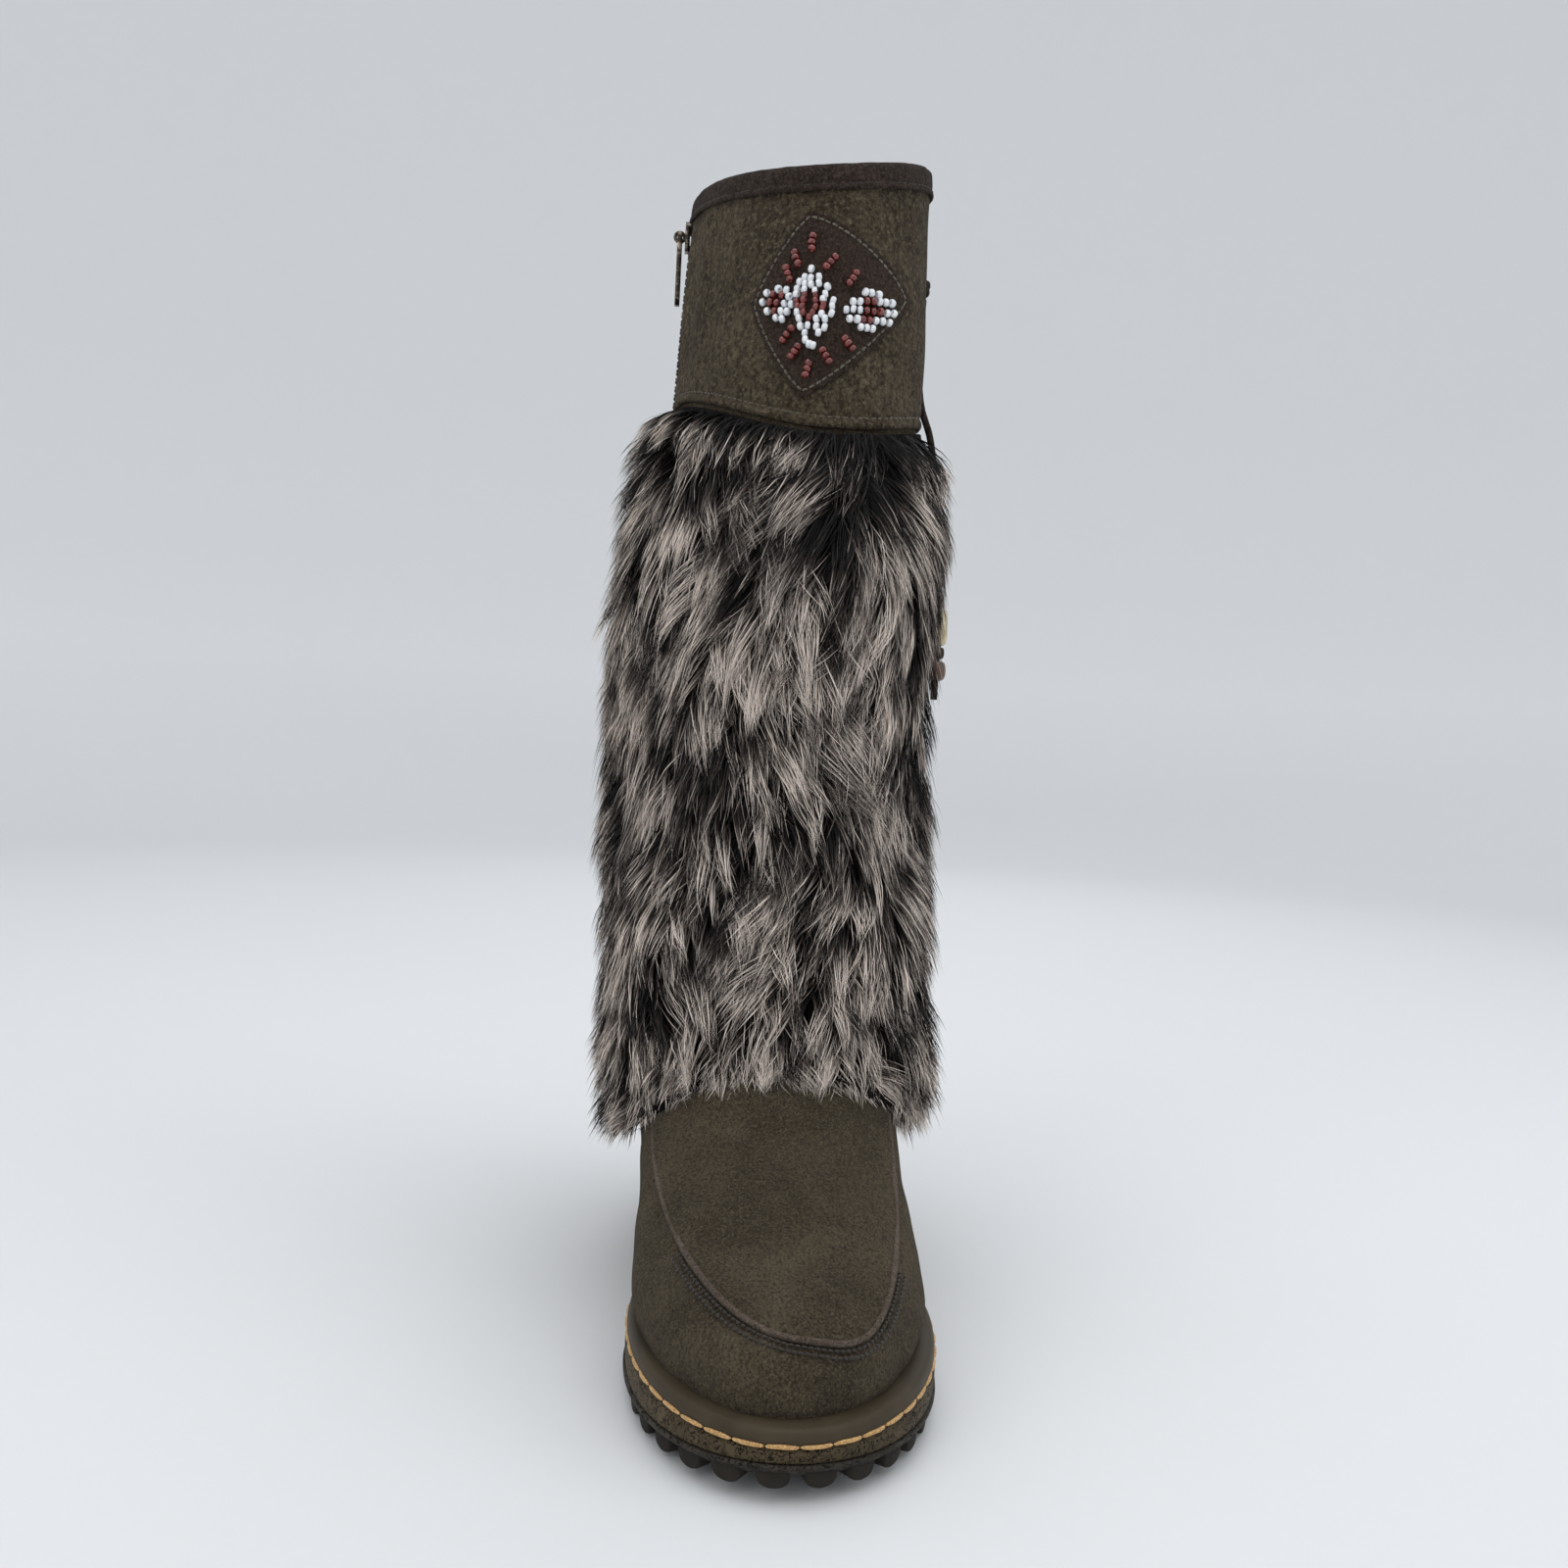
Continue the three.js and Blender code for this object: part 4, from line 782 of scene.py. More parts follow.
@dataclass
class Studio:
    """The camera at the photograph's place, a plain floor and soft lights."""

    eye: tuple = (-42.3, -630.3, 221.7)
    heading: float = 4.2
    pitch: float = 3.0
    roll: float = 2.4
    yaw: float = 8.7
    lens: float = 33.75

    def camera(self) -> None:
        """Makes the camera: turned from straight ahead by the heading, down by the pitch, rolled, then yawed."""
        turn, dip, lean, swing = map(math.radians, (self.heading, self.pitch, self.roll, self.yaw))
        level = np.array([-math.sin(turn), math.cos(turn), 0])
        right = np.array([math.cos(turn), math.sin(turn), 0])
        ahead = math.cos(dip) * level - math.sin(dip) * np.array([0, 0, 1])
        above = math.sin(dip) * level + math.cos(dip) * np.array([0, 0, 1])
        right, above = (
            math.cos(lean) * right + math.sin(lean) * above,
            -math.sin(lean) * right + math.cos(lean) * above,
        )
        right, ahead = (
            math.cos(swing) * right - math.sin(swing) * ahead,
            math.cos(swing) * ahead + math.sin(swing) * right,
        )
        data = bpy.data.cameras.new("camera")
        data.lens, data.sensor_width, data.sensor_fit = self.lens, 36, "HORIZONTAL"
        data.clip_start, data.clip_end = 0.01, 50
        obj = bpy.data.objects.new("camera", data)
        axes = Matrix(np.stack([right, above, -ahead], axis=1).tolist()).to_4x4()
        obj.matrix_world = Matrix.Translation(Vector(self.eye) * MM) @ axes
        bpy.context.scene.collection.objects.link(obj)
        bpy.context.scene.camera = obj

    def floor(self) -> None:
        """Makes the floor: a wide pale disc that curves up all round, so that no line shows behind the boot."""
        turn = np.linspace(0, math.pi / 2, 24)
        reach = np.concatenate([[0.1, 800], 1700 + 900 * np.sin(turn), [2600]])
        rise = np.concatenate([[0, 0], 900 * (1 - np.cos(turn)), [2300]])
        angle = np.arange(96) * TURN / 96
        rings = reach[:, None, None] * np.stack([np.cos(angle), np.sin(angle), 0 * angle], axis=-1)
        rings[..., 2] += rise[:, None]
        sweep = Shape(rings.reshape(-1, 3), grid_quads(len(reach), 96, False, True)).piece("floor")
        p = Pattern("floor_white")
        height = p.node("SeparateXYZ", {"Vector": p.coordinates}).outputs["Z"]
        colour = p.blend(p.level(height, 0.0, 0.5), srgb(224, 225, 226), srgb(218, 219, 220))
        glow = p.level(height, 0.0, 0.3, 0.0, 0.1)
        sweep.data.materials.append(
            p.finish(colour, roughness=0.7, specular_ior_level=0.2, emission_color=colour, emission_strength=glow)
        )

    def light(
        self, name: str, place: tuple, aim: tuple, size: float, power: float, tint: tuple = (1.0, 1.0, 1.0)
    ) -> None:
        """Adds a square soft light at a place, turned to its aim. Sizes and places are in metres."""
        data = bpy.data.lights.new(name, "AREA")
        data.size, data.energy, data.color = size, power, tint
        obj = bpy.data.objects.new(name, data)
        obj.location = place
        obj.rotation_euler = (Vector(aim) - Vector(place)).to_track_quat("-Z", "Y").to_euler()
        bpy.context.scene.collection.objects.link(obj)

    def lights(self) -> None:
        """Makes a broad light overhead, a softer one from each side, and an even pale surround."""
        world = bpy.data.worlds.new("surround")
        world.use_nodes = True
        back = world.node_tree.nodes["Background"]
        back.inputs["Color"].default_value = srgb(226, 230, 235)
        back.inputs["Strength"].default_value = 1.0
        bpy.context.scene.world = world
        self.light("overhead", (0.1, -0.35, 1.6), (0, -0.02, 0.15), 1.4, 8)
        self.light("left_front", (-1.1, -1.2, 0.95), (0, 0, 0.22), 1.0, 5.5, (1.0, 0.98, 0.95))
        self.light("right_side", (1.3, -0.6, 0.8), (0, 0, 0.22), 1.0, 3.5)
        self.light("behind", (0.3, 1.4, 1.1), (0, 0, 0.22), 1.0, 3)
        bpy.context.scene.view_settings.view_transform = "Standard"

    def build(self) -> None:
        """Makes the camera, the floor and the lights."""
        self.camera()
        self.floor()
        self.lights()
        LOG.info("camera, floor and lights")


# The sole


@dataclass
class Sole:
    """Outsole, midsole and welt with its stitches, round one outline."""

    outline: Outline = Outline(0, 276, 36, 40.5, 51.5, 42, 84, 0, 3.5, 1)
    points_round: int = 320
    stitch_pitch: float = 10.0

    @staticmethod
    def floor_line(along: Array) -> Array:
        """Height of the underside: it springs up at the toe, is bevelled at the heel and lifts under the arch."""
        toe = np.maximum(0, (along - 205) / 71)
        heel = np.maximum(0, 1 - along / 23)
        arch = np.sin(math.pi * np.clip((along - 78) / 72, 0, 1))
        return 5 * toe**2 + 1.5 * heel**2 + 1.2 * arch**2

    @staticmethod
    def seat(along: Array) -> Array:
        """Height of the midsole's top, on which the upper sits: the line of the upper's lowest section."""
        back, z_back, front, z_front, bow = SECTIONS[0, :5]
        share = (along - back) / (front - back)
        return mix(z_back, z_front, share) + bow * 4 * share * (1 - share) - GAP

    def ring(self, inset: float, height: Callable[[Array], Array], count: int = 0) -> Array:
        """The outline moved inwards, with heights worked out from the distance along the sole."""
        angle = np.arange(count or self.points_round) * TURN / (count or self.points_round)
        x, along = self.outline.inset(inset).at(angle)
        return np.stack([x, HEEL_TO_ORIGIN - along, height(along)], axis=-1)

    def layers(self, rows: Sequence[tuple[float, Callable[[Array], Array]]]) -> Shape:
        """A closed body over rings of the outline, each given by its inset and its height."""
        rings = np.stack([self.ring(inset, height) for inset, height in rows])
        middle = lambda ring: ring.mean(axis=0) + 0.02 * (ring - ring.mean(axis=0))
        return tube(np.concatenate([middle(rings[0])[None], rings, middle(rings[-1])[None]]))

    def lug(self, side: float, depth: float, top: float) -> Shape:
        """A lug that stands across the edge: half an oval seen from outside, with softened faces.

        Args:
            side: Half its width along the edge.
            depth: How far it reaches inwards.
            top: How high it reaches into the outsole.

        Returns:
            The lug with X along the edge, Y inwards and Z up, its foot at 0.
        """
        t = np.linspace(0, math.pi, 15)
        across, down = np.cos(t), np.sin(t) ** 0.55
        outline = np.stack([side * across, top * (1 - down)], axis=-1)
        outline = np.concatenate([outline, [[-side, top + 0.6], [side, top + 0.6]]])
        centre = np.array([0, top * 0.6])
        rings = []
        for inwards, size in ((0.0, 0.82), (0.25, 0.93), (0.9, 1.0), (depth - 1, 1.0), (depth, 0.85)):
            flat = centre + (outline - centre) * size
            flat[:, 1] = np.maximum(flat[:, 1], 0)
            rings.append(np.stack([flat[:, 0], np.full(len(flat), inwards), flat[:, 1]], axis=-1))
        return tube(np.stack(rings))

    def pad(self, along: float, length: float, width: float, x: float) -> Shape:
        """An oval pad under the middle of the sole, with a rounded foot."""
        t = np.arange(40) * TURN / 40
        rings = []
        for size, z in ((0.02, 0.0), (0.94, 0.0), (0.99, 0.4), (1, 1.2), (1, LUG_HEIGHT + 1), (0.02, LUG_HEIGHT + 1)):
            y = HEEL_TO_ORIGIN - along + size * length / 2 * np.sin(t)
            foot = self.floor_line(np.full(40, along)) + z
            rings.append(np.stack([x + size * width / 2 * np.cos(t), y, foot], axis=-1))
        return tube(np.stack(rings))

    def outsole(self) -> None:
        """Makes the outsole: a plate with a lip round it, and its lugs, bars and pads."""
        over = lambda rise: lambda along: self.floor_line(along) + rise
        rows = [
            (5.2, over(LUG_HEIGHT)), (3.2, over(LUG_HEIGHT + 0.15)), (1.6, over(LUG_HEIGHT + 1.2)),
            (0.8, over(LUG_HEIGHT + 2.0)), (0.4, over(OUTSOLE_HEIGHT - 1.9)), (-0.1, over(OUTSOLE_HEIGHT - 1.5)),
            (-0.4, over(OUTSOLE_HEIGHT - 1.0)), (-0.3, over(OUTSOLE_HEIGHT - 0.5)), (0.0, over(OUTSOLE_HEIGHT - 0.1)),
            (0.8, over(OUTSOLE_HEIGHT)),
        ]
        dress(self.layers(rows).piece("outsole_body"), Finish.OUTSOLE, "outsole", "outsole")
        line = self.ring(1.4, lambda along: along * 0)
        places, ways = along_line(line, 14.5, True)
        ways[:, 2] = 0
        places[:, 2] = self.floor_line(HEEL_TO_ORIGIN - places[:, 1])
        ups = np.broadcast_to(np.array([0.0, 0.0, 1.0]), ways.shape)
        inwards = unit(np.cross(ups, unit(ways)))
        middle = np.array([3.5, HEEL_TO_ORIGIN - 138, 0])
        inwards *= np.sign(np.einsum("ij,ij->i", inwards, middle - places))[:, None]
        frames = np.stack([unit(ways), inwards, ups], axis=1)
        lugs = self.lug(4.9, 12, LUG_HEIGHT + 1.5).placed(places, frames)
        lugs = lugs.with_other(self.pad(HEEL_TO_ORIGIN, 30, 26, 0)).with_other(self.pad(190, 34, 40, 3.5))
        for start, count in ((76, 6), (220, 2)):
            for i in range(count):
                lugs = lugs.with_other(self.pad(start + 17 * i, 9, 34, 3.5))
        dress(lugs.piece("outsole_lugs"), Finish.LUGS, "outsole")

    def midsole(self) -> None:
        """Makes the midsole: a band that swells a little between the outsole's lip and the welt."""
        low = lambda along: self.floor_line(along) + OUTSOLE_HEIGHT + 0.1
        between = lambda share: lambda along: mix(low(along), self.seat(along), share)
        swell = ((1.0, 0.0), (0.5, 0.05), (0.25, 0.15), (0.1, 0.35), (0.05, 0.6), (0.2, 0.8), (0.6, 0.93), (1.2, 1.0))
        rows = [(inset, between(share)) for inset, share in swell]
        dress(self.layers(rows).piece("midsole_band"), Finish.MIDSOLE, "midsole", "midsole")

    def welt(self) -> None:
        """Makes the welt: a smooth strip with rounded edges whose top runs in to the upper, and its stitches."""
        over = lambda rise: lambda along: self.seat(along) + rise
        rows = (
            (1.6, 0.1), (0.9, 0.3), (0.75, 0.9), (0.5, 1.4), (0.55, 2.6),
            (0.9, 3.9), (1.3, 4.6), (1.8, 5.05), (2.8, 5.3), (7, 5.6),
        )
        outer = np.stack([self.ring(inset, over(rise)) for inset, rise in rows], axis=1)
        inner = np.stack([self.ring(9 - 0.02 * i, over(0.1 + 5.4 * i / 9)) for i in range(len(rows))], axis=1)
        dress(shell(outer, inner, True).piece("welt_strip"), Finish.WELT, "welt", "welt")
        line = self.ring(0.35, over(0.75))
        centre = np.array([3.0, HEEL_TO_ORIGIN - 138, 0])
        ahead = np.roll(line, -1, axis=0) - np.roll(line, 1, axis=0)
        outs = unit(np.cross(ahead, np.array([0.0, 0.0, 1.0])))
        outs *= np.sign(np.einsum("ij,ij->i", outs, line - centre))[:, None]
        shape = thread_stitch(self.stitch_pitch - 0.5, 0.68, 0.35)
        stitches = row_of_stitches(line, outs, shape, self.stitch_pitch, True)
        stitches.points[:, 2] += 0.12 * waves(stitches.points, 5.0, 3)
        dress(stitches.piece("welt_stitches"), Finish.TAN_THREAD, "welt")

    def build(self) -> None:
        """Makes the three layers from the floor up."""
        self.outsole()
        self.midsole()
        self.welt()
        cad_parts["insole"].data.materials.clear()
        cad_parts["insole"].data.materials.append(Finish.LINING.material())


# The upper


@dataclass(frozen=True)
class Crease:
    """A soft trough on the upper, or a ridge where its depth is negative, between two places of it.

    Each place is an angle in degrees and a level. Width and depth are in millimetres.
    """

    start: tuple[float, float]
    end: tuple[float, float]
    width: float
    depth: float

    def push(self, points: Array) -> Array:
        """How far the crease moves each point inwards: its depth times a bell of the distance to its line."""
        ends = Last.bare(np.radians([self.start[0], self.end[0]]), np.array([self.start[1], self.end[1]]))
        way = ends[1] - ends[0]
        share = np.clip((points - ends[0]) @ way / (way @ way), 0, 1)
        gap = np.linalg.norm(points - (ends[0] + share[..., None] * way), axis=-1)
        return self.depth * np.exp(-((gap / self.width) ** 2))


@dataclass
class Upper:
    """The hollow suede upper with its lining, and the raised seam round its plug."""

    creases: tuple[Crease, ...] = (
        Crease((150, 3.6), (208, 3.8), 7, 0.7),
        Crease((146, 4.2), (214, 4.4), 6, -0.5),
        Crease((140, 4.9), (220, 5.0), 7, 0.9),
        Crease((214, 1.6), (232, 3.2), 8, 0.9),
        Crease((226, 1.4), (244, 2.8), 7, -0.5),
        Crease((146, 1.6), (128, 3.2), 8, 0.8),
        Crease((136, 1.2), (120, 2.4), 8, -0.5),
        Crease((262, 0.8), (292, 3.6), 10, 0.7),
        Crease((98, 0.8), (68, 3.6), 10, 0.7),
        Crease((330, 2.6), (30, 2.6), 9, 0.6),
    )
    columns: int = 240
    rows: int = 150
    seam_start: float = 150.0
    seam_front: float = 260.5
    seam_half_width: float = 42.0
    seam_fullness: float = 0.81
    seam_lean: float = 6.9
    seam_squareness: float = 1.03

    def seam_line(self, opening: float = 0.05) -> tuple[Array, Array, Array]:
        """The U of the plug's seam, from the inner leg round the toe to the outer leg.

        From above it is x = lean share^2 + half width |cos t|^fullness with the sign of cos t, and its place along
        the foot goes from its start to its front by share, where share = sin(t)^squareness. The angle and level of
        the surface over each place are found by halving the level.

        Returns:
            Points, outward directions and directions across the seam towards the plug.
        """
        t = np.linspace(opening, math.pi - opening, 420)
        share = np.sin(t) ** self.seam_squareness
        across = np.sign(np.cos(t)) * np.abs(np.cos(t)) ** self.seam_fullness
        x = self.seam_lean * share**2 + self.seam_half_width * across
        along = mix(self.seam_start, self.seam_front, share)

        def angle_at(level: Array) -> tuple[Array, Array]:
            """Angles of the places at a level, and whether the section there holds them."""
            v = np.moveaxis(Last.columns(level), -1, 0)
            outline = Outline(v[0], v[2], *v[6:])
            part = (along - v[0]) / (v[2] - v[0])
            turn = np.arccos(1 - 2 * np.clip(part, 0, 1))
            (outer, _), (inner, _) = outline.at(turn), outline.at(-turn)
            inside = (part < 1) & (x <= outer) & (x >= inner)
            return np.where(x > (outer + inner) / 2, turn, TURN - turn), inside

        low, high = np.ones(t.shape), np.full(t.shape, 8.0)
        for _ in range(24):
            middle = (low + high) / 2
            inside = angle_at(middle)[1]
            low, high = np.where(inside, middle, low), np.where(inside, high, middle)
        angle = angle_at(low)[0]
        points, outs = Last.bare(angle, low), Last.normal(angle, low)
        ways = unit(np.gradient(points, axis=0))
        return points, outs, unit(np.cross(ways, outs))

    def relief(self, points: Array) -> Array:
        """How far the suede stands out at each point: creases, a full plug, a puckered seam and slight unevenness."""
        out = 0.35 * waves(points, 38, 5) + 0.12 * waves(points, 14, 8)
        for crease in self.creases:
            out = out - crease.push(points)
        seam, _, towards = self.seam_line()
        near = (points[:, 2] < 140) & (points[:, 1] < -60)
        part = points[near]
        gap, side = np.empty(len(part)), np.empty(len(part))
        for start in range(0, len(part), 4000):
            chunk = part[start : start + 4000, None] - seam[None]
            distance = np.linalg.norm(chunk, axis=-1)
            nearest = distance.argmin(axis=1)
            rows = np.arange(len(nearest))
            gap[start : start + 4000] = distance[rows, nearest]
            side[start : start + 4000] = np.einsum("ij,ij->i", chunk[rows, nearest], towards[nearest])
        plug = np.where(side > 0, 0.9 * np.exp(-((gap / 9) ** 2)), 0.0) * smooth((gap - 0.2) / 1.2 + 0.4)
        dip = np.where(side <= 0, -0.55 * np.exp(-(((gap - 1.2) / 1.6) ** 2)), -0.25 * np.exp(-((gap / 1.1) ** 2)))
        seat = np.where(side <= 0, -0.3 * np.exp(-(((gap - 3.6) / 0.8) ** 2)), 0.0)
        out[near] += plug + dip + seat
        return out

    def shell(self) -> None:
        """Makes the hollow upper: suede outside and pile inside, as one closed wall."""
        angle = np.arange(self.columns) * TURN / self.columns
        low = np.linspace(0, 8, self.rows - 40)
        level = np.concatenate([low, np.linspace(8, TOP_LEVEL, 41)[1:]])
        grid = np.meshgrid(angle, level, indexing="ij")
        bare, out = Last.bare(*grid), Last.normal(*grid)
        edge = smooth(level / 0.6)[None, :] * smooth((9 - level) / 1.5)[None, :]
        push = self.relief(bare.reshape(-1, 3)).reshape(bare.shape[:2]) * edge
        outer = bare + out * push[..., None]
        inner = bare - out * WALL
        shape = shell(outer, inner, True)
        piece = shape.piece("upper_shell")
        dress(piece, Finish.VAMP, "suede", "upper")
        piece.data.materials.append(Finish.LINING.material())
        quads = shape.quads % (2 * self.rows)
        lining = ((quads >= self.rows).sum(axis=1) >= 2).astype(np.int32)
        piece.data.polygons.foreach_set("material_index", lining)

    def seam(self) -> None:
        """Makes the raised edge of the plug and the rows of small stitches below it, dark partly as painted shade of
        their holes.
        """
        points, outs, towards = self.seam_line()
        profile = np.array(
            [(-1.0, -0.8), (-0.95, 0.3), (-0.7, 0.85), (-0.1, 1.15), (0.5, 1.0), (1.0, 0.6), (1.3, -0.1), (1.2, -0.8)]
        )
        pucker = 1 + 0.1 * np.sin(np.arange(len(points)) * 0.9)
        rings = (
            points[:, None]
            + towards[:, None] * profile[None, :, :1]
            + outs[:, None] * (profile[None, :, 1:] * np.where(profile[None, :, 1:] > 0, pucker[:, None, None], 1))
        )
        dress(tube(rings).piece("plug_edge"), Finish.PLUG, "suede", "plug_ridge")
        front = slice(96, 330)
        stitch = thread_stitch(1.5, 0.45, 0.1)
        rows = Shape(np.zeros((0, 3)))
        for away in (2.1, 4.2):
            line = points[front] - towards[front] * away + outs[front] * 0.12
            rows = rows.with_other(row_of_stitches(line, outs[front], stitch, 1.95))
        # The stitches are dark partly as painted shade of their holes.
        dress(rows.piece("plug_stitches"), Finish.DARK_THREAD, "suede")

    def build(self) -> None:
        """Makes the shell and its seam."""
        self.shell()
        self.seam()


# The sleeves round the shaft


@dataclass
class Band:
    """A sleeve round the shaft that is slit at the zip."""

    low: tuple[float, float, float, float]
    columns: int
    rows: int

    def angles(self, distance: float, count: int) -> Array:
        """Angles from one side of the zip round to the other, at a distance from the zip's middle."""
        half = distance / 64
        return np.linspace(ZIP_ANGLE + half, ZIP_ANGLE - half + TURN, count)


@dataclass
class Fur(Band):
    """The fur sleeve: a near-black ground, coloured as painted shade deep in the pile, and many hairs in tufts."""

    low: tuple[float, float, float, float] = (68, 75, 97, 71)
    high: tuple[float, float, float, float] = (334, 337, 326, 343)
    columns: int = 150
    rows: int = 50
    ground: float = 7.5
    thickness: float = 19.5
    hem_drop: float = 15.5
    hairs: int = 82000
    tufts: int = 3600
    segments: int = 4
    pieces: int = 4
    hair_length: float = 26.0
    hair_widths: tuple[float, float] = (0.16, 0.3)
    tuft_size: tuple[float, float] = (2.0, 3.0)
    hem_share: float = 0.11
    hem_lifts: tuple[float, float] = (4, 17)
    seam_from: float = 0.96
    seam_lifts: tuple[float, float] = (5, 11)
    flare: float = 7.0
    tie_groove: float = 12.0
    tie_hollow: float = 3.5

    def __post_init__(self) -> None:
        """Works out the shaft's surface once on an even grid of angle and height, for quick reading."""
        self.turns = np.linspace(0, TURN, 361)
        self.heights = np.linspace(40, 352, 209)
        angle, height = np.meshgrid(self.turns, self.heights, indexing="ij")
        level = Last.level_at(angle, height)
        self.table = np.concatenate([Last.bare(angle, level), Last.normal(angle, level)], axis=-1)
        around_step = np.linalg.norm(np.gradient(self.table[..., :3], self.turns, axis=0), axis=-1)
        up_step = np.linalg.norm(np.gradient(self.table[..., :3], self.heights, axis=1), axis=-1)
        self.table = np.concatenate([self.table, around_step[..., None], up_step[..., None]], axis=-1)

    def read(self, angle: Array, height: Array) -> Array:
        """The surface's point, direction, size of a turn and slope at places, by bilinear reading of the table."""
        a = (angle % TURN) / TURN * 360
        h = np.clip((height - 40) / 1.5, 0, 207.999)
        i, j = np.minimum(a.astype(int), 359), h.astype(int)
        u, v = (a - i)[..., None], (h - j)[..., None]
        t = self.table
        near = t[i, j] * (1 - v) + t[i, j + 1] * v
        return near * (1 - u) + (t[i + 1, j] * (1 - v) + t[i + 1, j + 1] * v) * u

    def body(self, share: Array) -> Array:
        """Thickness of the ground under the hairs: thin at the cuff's seam and at the hem, full between."""
        top = smooth((1 - share) / 0.08)
        return mix(2.0, self.ground, top) * mix(0.5, 1.0, smooth(share / 0.08))

    def skin(self) -> None:
        """Makes the ground that the hairs grow from, as a closed sleeve, in a near-black finish that is painted shade
        deep in the pile.
        """
        angle = self.angles(ZIP_HALF_GAP, self.columns)[:, None]
        share = np.linspace(0, 1, self.rows)[None, :]
        height = mix(around(self.low, angle), around(self.high, angle), share)
        level = Last.level_at(angle, height)
        outer = Last.point(angle + 0 * share, level, self.body(share))
        inner = Last.point(angle + 0 * share, level, 0.4)
        dress(shell(outer, inner, False).piece("fur_ground_painted_shade"), Finish.FUR_GROUND, "fur", "fur_sleeve")

    def tone_at(self, angle: Array, height: Array) -> Array:
        """Tone of the fur at places, from 0 for dark to 1 for pale: mottled patches that are taller than wide."""
        places = np.stack([np.cos(angle) * 62, np.sin(angle) * 50, height * 0.5], axis=-1)
        return 0.56 + 0.14 * waves(places, 26, 21, 9) + 0.4 * waves(places, 7, 22, 11)

    def lines(self, rng: np.random.Generator) -> tuple[Array, Array, Array, Array]:
        """Works out the hairs' centre lines.

        Each hair belongs to a tuft. It starts near its tuft's root on the ground and bends over towards the tuft's
        tip, which lies lower and at the sleeve's outer face, so the tufts lie like shingles. A share of the tufts
        grows at the hem and another at the cuff's seam, and below the hem the hairs hang straight down.

        Args:
            rng: Seeded random numbers.

        Returns:
            Points of the lines, directions across them, their half widths, and a tone for each.
        """
        edge = self.angles(ZIP_HALF_GAP + 1.5, 2)
        u, v = rng.random(self.tufts), rng.random(self.tufts) ** 0.92
        at_hem = np.arange(self.tufts) < self.hem_share * self.tufts
        at_seam = np.arange(self.tufts) > self.seam_from * self.tufts
        v = np.where(at_hem, v * 0.03 - 0.012, np.where(at_seam, 1 - v * 0.012, v))
        angle = mix(edge[0], edge[1], u)
        low, high = around(self.low, angle) + 3, around(self.high, angle) - 1
        root = mix(low, high, v)
        flow = 0.32 * waves(np.stack([angle * 55, root], axis=-1), 60, 31) + rng.normal(0, 0.17, self.tufts)
        length = rng.normal(self.hair_length, 3.0, self.tufts)
        lift = self.thickness - 1.5 + rng.normal(0, 2.0, self.tufts)
        near_top = smooth(1 - (high - root) / 22)
        length = length * (1 - 0.42 * near_top) * np.where(at_hem, 0.8, 1.0)
        lift = lift - 5.5 * near_top
        side_flare = np.abs(np.sin(angle)) ** 2 * near_top
        lift = lift + self.flare * side_flare
        lift = np.where(at_hem, rng.uniform(*self.hem_lifts, self.tufts), lift)
        lift = np.where(at_seam, rng.uniform(*self.seam_lifts, self.tufts), lift)
        lift = lift - self.tie_hollow * np.exp(-(((np.degrees(angle) - 470) / 26) ** 2)) * smooth((root - 190) / 30)
        beside_tie = np.exp(-(((angle - TIE_ANGLE - TURN) * 50 / 5.5) ** 2)) * smooth((root - 225) / 20)
        lift = lift - beside_tie * self.tie_groove
        tone = self.tone_at(angle, root) + np.where(at_hem, 0.25, 0.0)

        tuft = rng.integers(0, self.tufts, self.hairs)
        place = self.read(angle, root)
        spread = rng.normal(0, 1, (self.hairs, 2)) * np.array(self.tuft_size)
        span = place[tuft, 6]
        hair_angle = angle[tuft] + spread[:, 0] / span
        hair_angle = np.clip(hair_angle, edge[0], edge[1])
        hair_root = np.minimum(root[tuft] + spread[:, 1], around(self.high, hair_angle) - 0.5)
        hair_length = length[tuft] * rng.normal(1, 0.1, self.hairs)
        run_across = np.sin(flow[tuft]) * hair_length - 0.62 * spread[:, 0]
        hem = around(self.low, hair_angle) - self.hem_drop + rng.normal(0, 2.2, self.hairs)
        run_down = np.minimum(np.cos(flow[tuft]) * hair_length / place[tuft, 7], np.maximum(hair_root - hem, 2))
        hair_lift = lift[tuft] + rng.normal(0, 1.1, self.hairs)

        t = np.linspace(0, 1, self.segments + 1)[None, :]
        bend = rng.normal(0, 1.2, (self.hairs, 1)) * np.sin(math.pi * t)
        a = hair_angle[:, None] + (run_across[:, None] * t**1.15 + bend) / span[:, None]
        z = hair_root[:, None] - run_down[:, None] * (0.72 * t + 0.28 * t * t)
        share = np.clip((hair_root - around(self.low, hair_angle)) / 250, 0, 1)
        start = self.body(share) - 1.2
        offset = start[:, None] + (hair_lift - start)[:, None] * (1.45 * t - 0.45 * t * t) ** 0.9
        hang = np.maximum(z, around(self.low, a) + 12)
        surface = self.read(a, hang)
        points = surface[..., :3] + surface[..., 3:6] * offset[..., None]
        points[..., 2] += z - hang
        along = unit(np.gradient(points, axis=1))
        across = unit(np.cross(along, surface[..., 3:6]))
        twist = rng.uniform(-1.15, 1.15, self.hairs)[:, None, None]
        across = across * np.cos(twist) + unit(np.cross(along, across)) * np.sin(twist)
        width = rng.uniform(*self.hair_widths, self.hairs)[:, None] * (1 - t**2.2) ** 0.8
        hair_tone = np.clip(tone[tuft] + rng.normal(0, 0.16, self.hairs), 0, 1)
        return points, across, width, hair_tone

